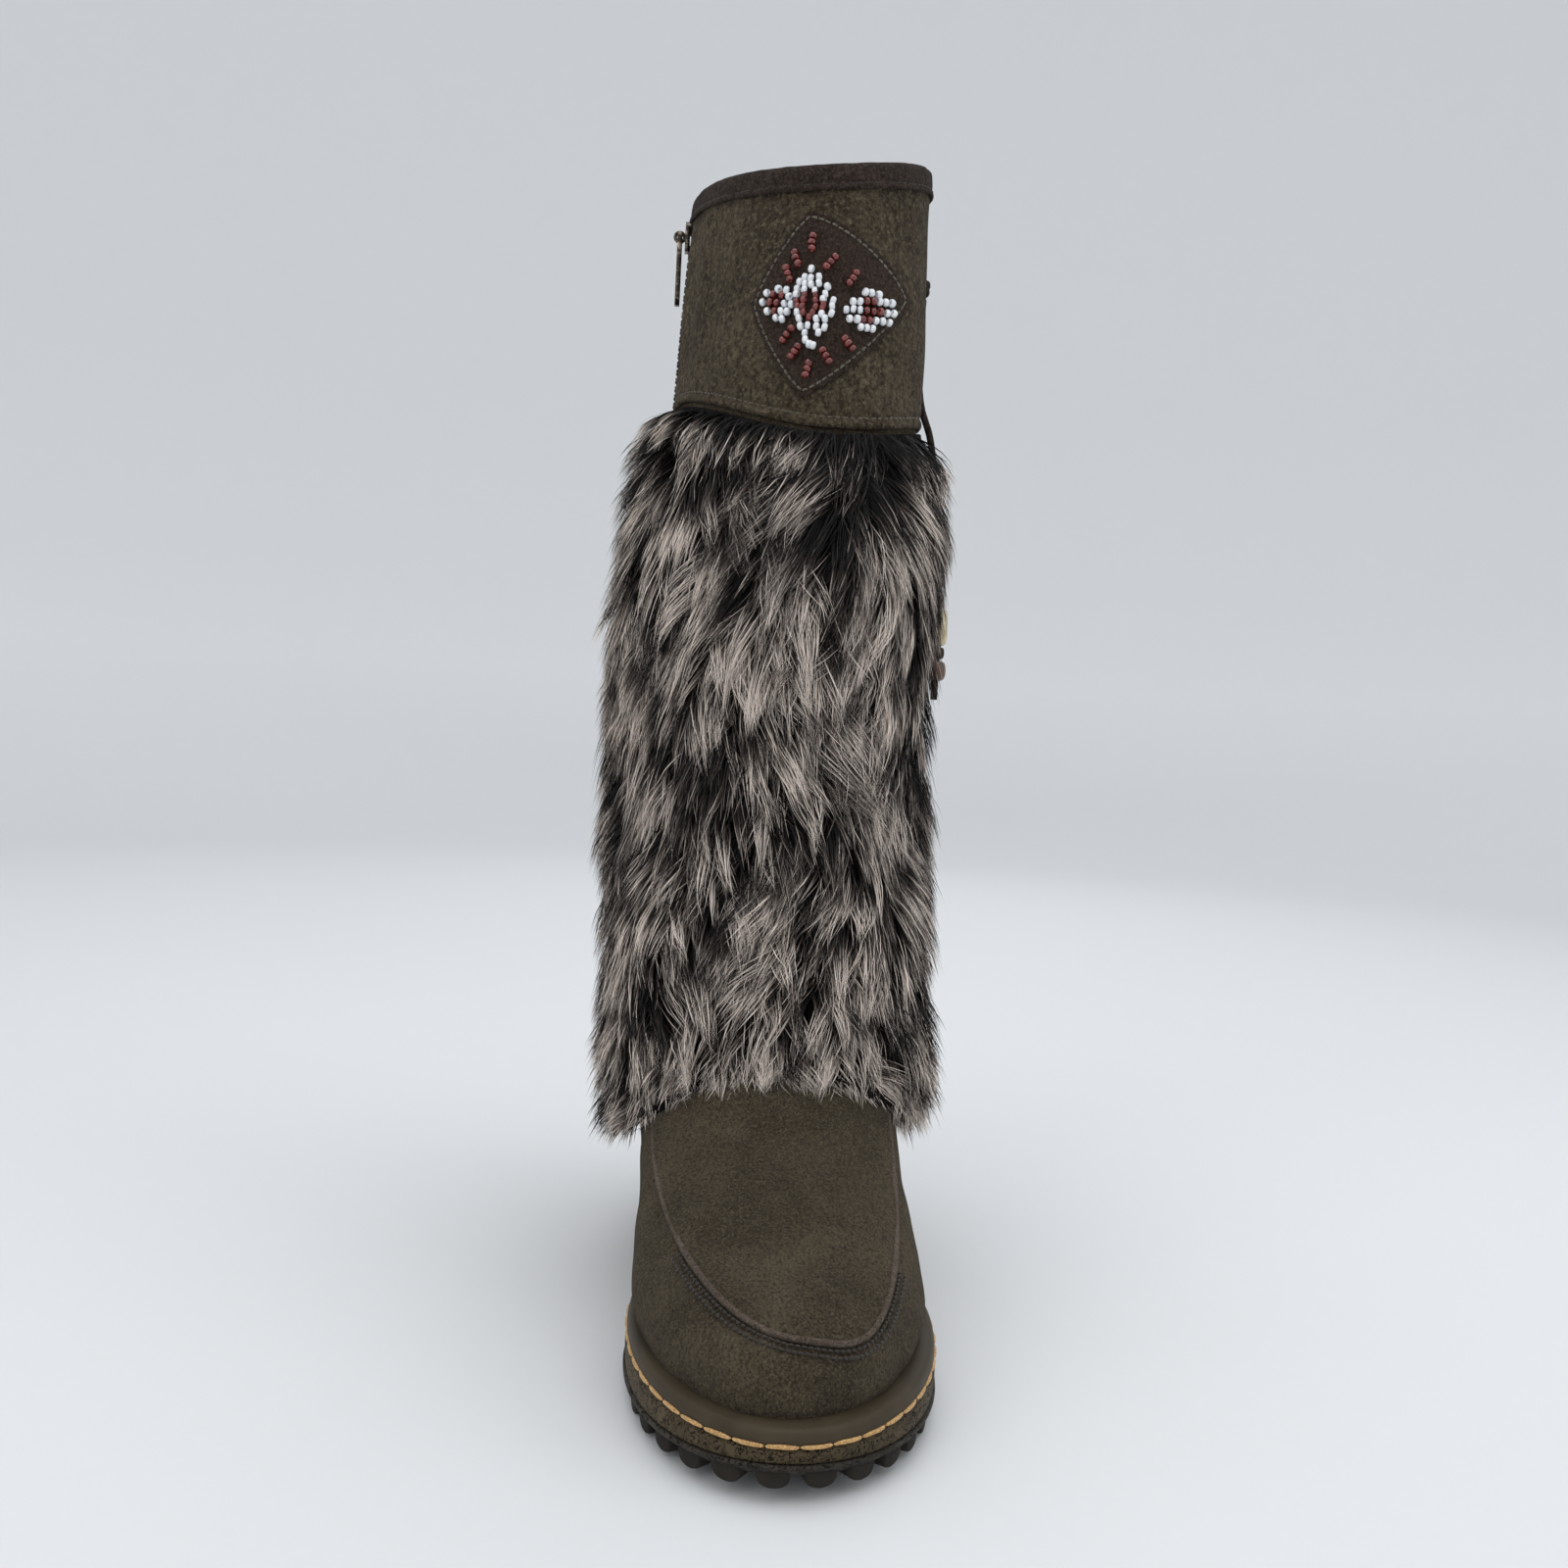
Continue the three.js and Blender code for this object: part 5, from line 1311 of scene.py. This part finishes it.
    def hair(self) -> None:
        """Makes the hairs as thin tapered ribbons in a few pieces, with each point's share of the length and tone."""
        rng = np.random.default_rng(7)
        points, across, width, tone = self.lines(rng)
        k = self.segments
        for n in range(self.pieces):
            part = slice(n, None, self.pieces)
            line, side, half = points[part], across[part], width[part][..., None]
            count = len(line)
            left, right = line[:, :k] - side[:, :k] * half[:, :k], line[:, :k] + side[:, :k] * half[:, :k]
            corners = np.concatenate([left, right, line[:, k:]], axis=1)
            step = (np.arange(count) * (2 * k + 1))[:, None, None]
            j = np.arange(k - 1)
            quads = np.stack([j, j + k, j + k + 1, j + 1], axis=-1)[None] + step
            tips = np.array([[k - 1, 2 * k - 1, 2 * k]])[None] + step
            piece = Shape(corners.reshape(-1, 3), quads.reshape(-1, 4), tips.reshape(-1, 3)).piece(f"fur_hair_{n + 1}")
            places = np.linspace(0, 1, k + 1)
            share = np.tile(np.concatenate([places[:k], places[:k], places[k:]]), count)
            for name, values in (("along", share), ("tone", np.repeat(tone[part], 2 * k + 1))):
                piece.data.attributes.new(name, "FLOAT", "POINT").data.foreach_set("value", values.astype(np.float32))
            dress(piece, Finish.HAIR, "fur")

    def build(self) -> None:
        """Makes the ground and the hairs."""
        self.skin()
        self.hair()


@dataclass
class Cuff(Band):
    """The suede cuff with its stitched hem, and the binding over the collar's edge."""

    low: tuple[float, float, float, float] = (336, 339, 328, 345)
    columns: int = 260
    rows: int = 54
    binding_height: float = 8.5
    binding_thickness: float = 2.4
    binding_over: float = 1.8
    stitch_height: float = 4.0
    folds: tuple[tuple[float, float, float], ...] = (
        (243, 5.0, 1.0), (252, 4.0, -0.6), (262, 5.0, 1.3), (271, 4.0, -0.5),
        (112, 8.0, 0.6), (60, 9.0, 0.8), (35, 8.0, -0.5), (318, 8.0, 0.8), (0, 12.0, 0.5),
    )

    def relief(self, angle: Array, share: Array) -> Array:
        """How far the cuff stands out: upright folds that fade to its edges, a hem seam and slight unevenness.

        Args:
            angle: Angles round the cuff.
            share: Shares of its height.

        Returns:
            Distances outwards in millimetres.
        """
        out = 0.3 * waves(np.stack([np.cos(angle) * 60, np.sin(angle) * 50, share * 60], axis=-1), 34, 13)
        for degrees, width, depth in self.folds:
            lean = math.radians(degrees) + 0.06 * (share - 0.5)
            gap = np.angle(np.exp(1j * (angle - lean))) * 55
            out = out - depth * np.exp(-((gap / width) ** 2)) * np.sin(math.pi * np.clip(share, 0, 1)) ** 0.7
        up = share * 88
        hem = -0.5 * np.exp(-(((up - self.stitch_height) / 0.9) ** 2)) + 0.35 * np.exp(-(((up - 1.6) / 1.4) ** 2))
        pucker = 0.14 * np.sin(angle * 55 / 3.4 * TURN / 2) * np.exp(-((up / 7) ** 2))
        return out + hem + pucker

    def cloth(self) -> None:
        """Makes the cuff as a closed wall, and the stitches of its hem."""
        angle = self.angles(ZIP_HALF_GAP, self.columns)[:, None]
        share = np.concatenate([np.linspace(0, 0.14, 22), np.linspace(0.14, 1, self.rows - 21)[1:]])[None, :]
        top = Last.bare(angle, TOP_LEVEL)[..., 2] - self.binding_height + 2.5
        height = mix(around(self.low, angle), top, share)
        level = Last.level_at(angle, height)
        spread = angle + 0 * share
        push = self.relief(spread, share + 0 * spread)
        round_edge = 0.5 * (1 - smooth(share * 88 / 1.0))
        outer = Last.point(spread, level, GAP + CUFF_THICKNESS + push - round_edge)
        inner = Last.point(spread, level, np.minimum(GAP, GAP + push))
        dress(shell(outer, inner, False).piece("cuff_cloth"), Finish.CUFF, "cuff_suede", "cuff")
        turn = self.angles(ZIP_HALF_GAP + 2, 500)
        seat = Last.level_at(turn, around(self.low, turn) + self.stitch_height)
        lift = GAP + CUFF_THICKNESS + self.relief(turn, np.full(turn.shape, self.stitch_height / 88)) + 0.05
        line, outs = Last.point(turn, seat, lift), Last.normal(turn, seat)
        stitches = row_of_stitches(line, outs, thread_stitch(2.1, 0.3, 0.15), 2.9)
        dress(stitches.piece("cuff_hem_stitches"), Finish.OLIVE_THREAD, "cuff_suede")

    def binding(self) -> None:
        """Makes the binding: a hook-shaped section carried round the collar, with a puckered stitched lower edge."""
        h, w, over = self.binding_height, self.binding_thickness, self.binding_over
        section = np.array(
            [
                (1.9, -h + 0.9), (w - 0.1, -h + 0.2), (w + 0.5, -h - 0.1), (w + 0.9, -h + 0.5), (w + 0.9, -h + 1.3),
                (w + 0.45, -h + 2.0), (w + 0.35, -h + 2.6), (w + 0.6, -h + 3.6), (w + 0.65, -h + 5.2),
                (w + 0.5, -1.2), (w + 0.1, 0.2), (w * 0.65, over * 0.75), (w * 0.2, over), (-WALL * 0.6, over),
                (-WALL - w * 0.35, over * 0.8), (-WALL - 1.3, over * 0.2), (-WALL - 1.75, -1.0),
                (-WALL - 1.8, -h * 0.5), (-WALL - 1.7, -h + 0.6), (-WALL - 1.2, -h), (-WALL - 0.5, -h),
                (-WALL - 0.5, 0.5), (0.5, 0.5), (0.5, -h + 3.0), (2.0, -h + 3.0),
            ]
        )
        turn = self.angles(ZIP_HALF_GAP, 520)[:, None]
        offset, rise = section[None, :, 0], section[None, :, 1]
        top = Last.bare(turn, TOP_LEVEL)[..., 2]
        level = Last.level_at(turn + 0 * rise, top + np.minimum(0, rise))
        run = turn * 52
        lower = np.exp(-(((rise + h - 0.8) / 1.3) ** 2)) * (offset > w - 0.3)
        scallop = lower * 0.28 * np.abs(np.sin(run * math.pi / 3.3))
        wrinkle = (offset > 0) * 0.16 * waves(np.stack([run + 0 * rise, rise + 0 * run], axis=-1), 7, 17)
        points = Last.point(turn + 0 * rise, level, offset + scallop + wrinkle)
        points[..., 2] += np.maximum(0, rise) - 0.25 * lower * np.abs(np.cos(run * math.pi / 3.3))
        dress(tube(points).piece("collar_roll"), Finish.BINDING, "binding", "collar_binding")
        turn = self.angles(ZIP_HALF_GAP + 2, 500)
        seat = Last.level_at(turn, Last.bare(turn, TOP_LEVEL)[..., 2] - h + 2.1)
        line, outs = Last.point(turn, seat, w + 0.42), Last.normal(turn, seat)
        dress(
            row_of_stitches(line, outs, thread_stitch(2.3, 0.26, 0.1), 3.3).piece("collar_stitches"),
            Finish.DARK_THREAD, "binding",
        )

    def build(self) -> None:
        """Makes the cuff and the binding."""
        self.cloth()
        self.binding()


# The beaded patch


@dataclass(frozen=True)
class BeadRow:
    """A row of beads strung together: w is a white bead and r a red one, from one end to the other."""

    start: tuple[float, float]
    end: tuple[float, float]
    marks: str

    def places(self) -> Array:
        """Returns the beads' places across and up from the patch's middle."""
        return mix(np.array(self.start), np.array(self.end), np.linspace(0, 1, len(self.marks))[:, None])


@dataclass
class BeadPatch:
    """The suede diamond on the front of the cuff, sewn down round its edge, with its seed beads."""

    x: float = 0.0
    z: float = 375.4
    left: float = 19.7
    right: float = 40.2
    top: float = 31.2
    bottom: float = 37.0
    skew: float = 0.085
    fullness: float = 1.25
    thickness: float = 1.0
    seat: float = CUFF_THICKNESS + 2 * GAP + 0.1
    stitch_ring: float = 0.935
    ray_pitch: float = 2.3
    bead_rise: float = 1.3
    rows: tuple[BeadRow, ...] = (
        BeadRow((20.8, 2), (26.2, 2), "www"),
        BeadRow((16.9, -1.8), (31.7, -0.1), "wwrrwww"),
        BeadRow((14.2, -4.8), (32.4, -3.8), "wwwrrrww"),
        BeadRow((15.8, -8.3), (30.8, -7.3), "wwrrwww"),
        BeadRow((19.9, -10.7), (24.5, -10.7), "www"),
        BeadRow((-10.4, 2.5), (-7.5, 1.9), "ww"),
        BeadRow((-14.4, 1.6), (-6.4, -0.4), "wrrw"),
        BeadRow((-15.7, -1.5), (-5.6, -3.3), "wrrww"),
        BeadRow((-13.8, -5.2), (-6.8, -5.8), "wrww"),
        BeadRow((-11, -7.9), (-8.6, -8.7), "ww"),
    )
    middle_white: tuple[tuple[float, float], ...] = (
        (1.1, 9.4), (-1.2, 6.5), (0.9, 6.2), (3.8, 6.6), (-3, 4.8), (-0.9, 4.1), (1.2, 3.8),
        (3.7, 4.2), (-3.5, 2.4), (-1.2, 1.9), (2.7, 1.4), (7.1, 3.1), (-3.8, 0.4), (6.6, 0.5),
        (6, -1.5), (9.3, -1.8), (9, -3.8), (-3.5, -6.2), (9.1, -6.5), (-2.5, -8.6), (3.6, -8.9),
        (5.6, -7.1), (6.7, -8.8), (-1.9, -11.6), (0.4, -11.3), (3.7, -11.3), (6.6, -11.8), (-0.3, -14),
        (4.4, -13.8), (0, -16.4), (1.4, -18.2), (2.8, -18.6),
    )
    middle_red: tuple[tuple[float, float], ...] = (
        (-0.9, 0.1), (2.8, -0.1), (-3.5, -2.2), (-1.4, -1.9), (3.1, -2.3), (-3.6, -4.2), (-1.5, -4.1),
        (3, -4.7), (5.8, -3.3), (-1.2, -6.3), (2.3, -6.5), (5.9, -4.9), (0.8, -8.3),
    )
    rays: tuple[tuple[float, float, float], ...] = (
        (0.9, 19.2, 88), (-4.5, 13.7, 103), (-7.2, 8.3, 107), (7.9, 12.2, 53), (16.1, 6.8, 60),
        (-6.6, -14.3, 57), (-3.7, -20.6, 57), (15.7, -17, 134), (7.7, -22.1, 120), (1, -27, 78),
    )

    def outline(self, turn: Array, size: Array | float) -> tuple[Array, Array]:
        """The diamond's edge: half widths times |cos| and |sin| to 2 / fullness, with signs, and raised by skew x."""
        c, s = np.cos(turn), np.sin(turn)
        power = 2 / self.fullness
        x = np.where(c > 0, self.right, -self.left) * np.abs(c) ** power
        z = np.where(s > 0, self.top, -self.bottom) * np.abs(s) ** power
        return self.x + x * size, self.z + (z + self.skew * x) * size

    def leather(self) -> None:
        """Makes the diamond: rings from its middle to its edge and back beneath, laid on the cuff's front."""
        turn = np.arange(220) * TURN / 220
        fray = 1 + 0.006 * waves(turn[:, None] * 30, 2.2, 41) + 0.004 * waves(turn[:, None] * 30, 5, 42)
        t = self.thickness
        rows = (
            (0.02, t), (0.3, t), (0.55, t), (0.75, t), (0.86, t), (0.9, t - 0.1), (0.93, t - 0.3), (0.96, t - 0.05),
            (0.985, t), (1.0, t - 0.25), (1.005, t - 0.7), (1.0, 0.05), (0.8, 0), (0.4, 0), (0.02, 0),
        )
        rings = []
        for size, rise in rows:
            x, z = self.outline(turn, size * (fray if size > 0.95 else 1))
            rings.append(Last.front(x, z, self.seat + rise)[0])
        dress(tube(np.stack(rings)).piece("patch_leather"), Finish.PATCH, "patch", "patch")
        x, z = self.outline(np.arange(700) * TURN / 700, self.stitch_ring)
        line, outs = Last.front(x, z, self.seat + t - 0.05)
        stitches = row_of_stitches(line, outs, thread_stitch(2.1, 0.42, 0.15), 2.7, True)
        stitches.points += 0.1 * np.stack([waves(stitches.points, 2.0, 50 + k) for k in range(3)], axis=-1)
        dress(stitches.piece("patch_stitches"), Finish.OLIVE_THREAD, "patch")

    def bead(self) -> Shape:
        """One seed bead with its bore along X: a closed profile of seven points turned about the bore."""
        profile = np.array(
            [(-0.9, 0.5), (-1.05, 0.95), (-0.7, 1.42), (0, 1.56), (0.7, 1.42), (1.05, 0.95), (0.9, 0.5)]
        )
        turn = np.arange(10) * TURN / 10
        rings = np.stack(
            [
                np.broadcast_to(profile[:, 0], (10, 7)),
                profile[:, 1] * np.cos(turn)[:, None],
                profile[:, 1] * np.sin(turn)[:, None],
            ],
            axis=-1,
        )
        return Shape(rings.reshape(-1, 3), grid_quads(10, 7, True, True)).outward()

    def beads(self) -> None:
        """Makes all beads by the charts, each tilted and set a little unevenly, as two pieces by colour."""
        rng = np.random.default_rng(19)
        places = [np.array(self.middle_white), np.array(self.middle_red), *(row.places() for row in self.rows)]
        marks = "w" * len(self.middle_white) + "r" * len(self.middle_red) + "".join(row.marks for row in self.rows)
        reds = [np.array(list(marks)) == "r"]
        tilts = [np.zeros(len(marks))]
        for x, z, tilt in self.rays:
            way = np.array([math.cos(math.radians(tilt)), math.sin(math.radians(tilt))])
            places.append(np.array([x, z]) + np.outer(np.array([-1, 0, 1]) * self.ray_pitch, way))
            reds.append(np.ones(3, bool))
            tilts.append(np.full(3, math.radians(tilt)))
        at, red, tilt = np.concatenate(places), np.concatenate(reds), np.concatenate(tilts)
        at = at + rng.normal(0, 0.12, at.shape)
        tilt = tilt + rng.normal(0, 0.2, len(tilt))
        seat = self.seat + self.thickness + self.bead_rise + rng.uniform(-0.1, 0.25, len(at))
        middle, out = Last.front(self.x + at[:, 0], self.z + at[:, 1], seat)
        across = unit(np.cross(np.array([0.0, 0.0, 1.0]), out))
        across *= np.sign(across[:, :1])
        up = unit(np.cross(out, across))
        up *= np.sign(up[:, 2:])
        bore = across * np.cos(tilt)[:, None] + up * np.sin(tilt)[:, None]
        bore = unit(bore + out * rng.normal(0, 0.18, len(at))[:, None])
        third = unit(np.cross(bore, out))
        frames = np.stack([bore, third, np.cross(bore, third)], axis=1) * rng.uniform(0.93, 1.05, (len(at), 1, 1))
        one = self.bead()
        rays = [f"beads_ray_{i + 1}" for i in range(len(self.rays))]
        white = one.placed(middle[~red], frames[~red]).outward().piece("seed_beads_white")
        dress(white, Finish.WHITE_BEAD, "white_bead", "beads_middle", "beads_inner", "beads_outer")
        maroon = one.placed(middle[red], frames[red]).outward().piece("seed_beads_red")
        dress(maroon, Finish.RED_BEAD, "red_bead", *rays)

    def build(self) -> None:
        """Makes the patch and its beads."""
        self.leather()
        self.beads()


# The zip


@dataclass
class Zip:
    """The closed zip on the inner side: its tape and teeth, the slider and the pull."""

    bottom_level: float = 4.6
    tape_width: float = 9.6
    seat: float = GAP + 0.3
    thickness: float = 1.2
    tooth_pitch: float = 1.7

    def tape(self) -> None:
        """Makes the tape as a thin closed strip from the ankle to the collar."""
        level = np.linspace(self.bottom_level, TOP_LEVEL, 240)[None, :]
        across = np.linspace(-1, 1, 13)[:, None] * self.tape_width / 2
        turn = Last.beside_zip(level, across)
        crown = 0.2 * (1 - (2 * across / self.tape_width) ** 2)
        outer = Last.point(turn, level + 0 * across, self.seat + self.thickness - 0.35 + crown)
        inner = Last.point(turn, level + 0 * across, self.seat)
        dress(shell(outer, inner, False).piece("zip_tape_cloth"), Finish.TAPE, "zip_tape", "zip_tape")

    def teeth(self) -> None:
        """Makes two rows of teeth that mesh along the tape's middle."""
        level = np.linspace(self.bottom_level + 0.2, TOP_LEVEL - 0.45, 900)
        line = Last.point(Last.beside_zip(level, 0.0), level, self.seat + self.thickness)
        outs = Last.normal(Last.beside_zip(level, 0.0), level)
        places, ways = along_line(line, self.tooth_pitch, False)
        nearest = np.argmin(np.linalg.norm(places[:, None] - line[None], axis=-1), axis=1)
        out = outs[nearest]
        side = unit(np.cross(out, ways))
        offset = np.where(np.arange(len(places)) % 2 == 0, 0.75, -0.75)[:, None]
        tooth = thread_stitch(3.4, 0.62)
        teeth = tooth.placed(places + side * offset, np.stack([side, ways, out], axis=1))
        dress(teeth.piece("zip_teeth"), Finish.METAL, "zip_metal")

    def softened(self, node: str, name: str, width: float, body: str) -> None:
        """Makes a copy of a small solid with its edges rounded, which stands for the solid.

        Args:
            node: The solid.
            name: Name of the new piece.
            width: Width of the rounding in millimetres.
            body: The body that it rides on.
        """
        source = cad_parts[node]
        piece = bpy.data.objects.new(name, source.data.copy())
        bpy.context.scene.collection.objects.link(piece)
        piece.data.materials.clear()
        weld = piece.modifiers.new("weld", "WELD")
        weld.merge_threshold = 1e-6
        bevel = piece.modifiers.new("bevel", "BEVEL")
        bevel.width, bevel.segments, bevel.limit_method, bevel.angle_limit = width * MM, 3, "ANGLE", math.radians(35)
        graph = bpy.context.evaluated_depsgraph_get()
        mesh = bpy.data.meshes.new_from_object(piece.evaluated_get(graph))
        piece.modifiers.clear()
        piece.data = mesh
        mesh.shade_smooth()
        dress(piece, Finish.METAL, "zip_metal", node, body=body)

    def build(self) -> None:
        """Makes the tape, the teeth, the slider and the pull."""
        self.tape()
        self.teeth()
        self.softened("zip_slider", "zip_slider_body", 0.35, BODY)
        self.softened("zip_pull", "zip_pull_tab", 0.45, "pull")


# The tie on the outer side


@dataclass
class SideTie:
    """The suede lace that hangs on the outer side with its knot and beads."""

    route: tuple[tuple[float, float], ...] = (
        (395.4, 5), (382, 3.9), (366, 3.9), (352, 5.6), (340, 9.8), (326, 12.2), (308, 14), (290, 16), (275, 18),
        (262, 19), (250, 19.4), (232, 19.5),
    )
    radius: float = 1.5
    bore: float = 1.9
    knot_place: tuple[float, float] = (400.0, 5.2)
    knot_radius: float = 3.2
    # Height, length, radius and fullness of what the lace carries
    cream: tuple[float, float, float, float] = (262, 15, 3.9, 3.2)
    low_knot: tuple[float, float, float, float] = (251.4, 4.4, 3.1, 2.0)
    brown: tuple[float, float, float, float] = (244.4, 8, 4.2, 2.2)

    def line(self) -> Array:
        """The lace's middle line: a Catmull-Rom curve through heights and distances from the shaft."""
        z, out = np.array(self.route).T
        angle = np.full(z.shape, TIE_ANGLE)
        points = Last.point(angle, Last.level_at(angle, z), out)
        points[:, 2] = z
        ends = np.concatenate([2 * points[:1] - points[1:2], points, 2 * points[-1:] - points[-2:-1]])
        t = np.linspace(0, 1, 12)[None, :, None]
        a, b, c, d = (ends[k : k + len(points) - 1, None] for k in range(4))
        curve = b + 0.5 * t * (c - a + t * (2 * a - 5 * b + 4 * c - d + t * (3 * (b - c) + d - a)))
        return np.concatenate([curve[:, :-1].reshape(-1, 3), points[-1:]])

    def lace(self) -> Piece:
        """Makes the lace: a round tube with a slight twist along its middle line."""
        line = self.line()
        ways = unit(np.gradient(line, axis=0))
        side = unit(np.cross(ways, np.array([0.0, 1.0, 0.0])))
        other = np.cross(ways, side)
        turn = np.arange(12)[None, :] * TURN / 12 + np.arange(len(line))[:, None] * 0.12
        radius = self.radius * (1 - 0.05 * np.cos(2 * turn))
        rings = line[:, None] + side[:, None] * (radius * np.cos(turn))[..., None]
        rings = rings + other[:, None] * (radius * np.sin(turn))[..., None]
        return dress(tube(rings).piece("tie_lace"), Finish.BINDING, "binding", "tie_cord")

    def turned(self, name: str, z: float, length: float, radius: float, full: float) -> Piece:
        """A bead or knot on the lace, turned about it, with a bore.

        Args:
            name: Name of the piece.
            z: Height of its middle.
            length: Its length.
            radius: Its largest radius.
            full: Power of its profile: 2 is an oval, more is squarer.

        Returns:
            The piece, without a finish.
        """
        line = self.line()
        at = int(np.argmin(np.abs(line[:, 2] - z)))
        way = unit(line[at - 1] - line[at + 1])
        side = unit(np.cross(way, np.array([0.0, 1.0, 0.0])))
        other = np.cross(way, side)
        share = np.linspace(-1, 1, 21)
        swell = self.bore + 0.5 + (radius - self.bore - 0.5) * (1 - np.abs(share) ** full) ** (1 / full)
        profile = np.concatenate([np.stack([share, swell], -1), [[0.97, self.bore], [-0.97, self.bore]]])
        turn = np.arange(28) * TURN / 28
        rings = (
            line[at]
            + way * (profile[None, :, :1] * length / 2)
            + side * (profile[None, :, 1:] * np.cos(turn)[:, None, None])
            + other * (profile[None, :, 1:] * np.sin(turn)[:, None, None])
        )
        return Shape(rings.reshape(-1, 3), grid_quads(28, len(profile), True, True)).outward().piece(name)

    def knot(self) -> None:
        """Makes the knot on the cuff: a lumpy ball that is wound round by a groove."""
        height, offset = self.knot_place
        level = Last.level_at(np.array([TIE_ANGLE]), np.array([height]))
        centre = Last.point(np.array([TIE_ANGLE]), level, offset)[0]
        centre[2] = height
        u, v = np.meshgrid(np.linspace(0, math.pi, 33)[1:-1], np.arange(48) * TURN / 48, indexing="ij")
        radius = self.knot_radius * (1 + 0.1 * np.sin(2 * v + 3 * u) - 0.1 * np.exp(-((np.sin(u * 2 + v) / 0.3) ** 2)))
        rings = np.stack(
            [0.85 * radius * np.sin(u) * np.cos(v), 1.0 * radius * np.sin(u) * np.sin(v), 1.1 * radius * np.cos(u)], -1
        )
        dress(tube(centre + rings).piece("tie_knot_suede"), Finish.BINDING, "binding", "tie_knot")

    def build(self) -> None:
        lace = self.lace()
        cream = dress(self.turned("bead_cream", *self.cream), Finish.CREAM_BEAD, "cream_bead", "tie_bead_cream")
        low = dress(self.turned("knot_low", *self.low_knot), Finish.BINDING, "binding", "tie_knot_low")
        brown = dress(self.turned("bead_brown", *self.brown), Finish.BROWN_BEAD, "brown_bead", "tie_bead_brown")
        self.knot()
        path = self.line() * MM


def main() -> None:
    """Builds the studio and every sub-assembly of the boot in order."""
    logging.basicConfig(level=logging.INFO, format="%(name)s %(message)s")
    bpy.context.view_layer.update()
    assemblies = (Studio(), SideTie(), Sole(), Upper(), Cuff(), BeadPatch(), Zip(), Fur())
    for assembly in assemblies:
        assembly.build()
        LOG.info("%s done", type(assembly).__name__)


if __name__ == "__main__":
    main()
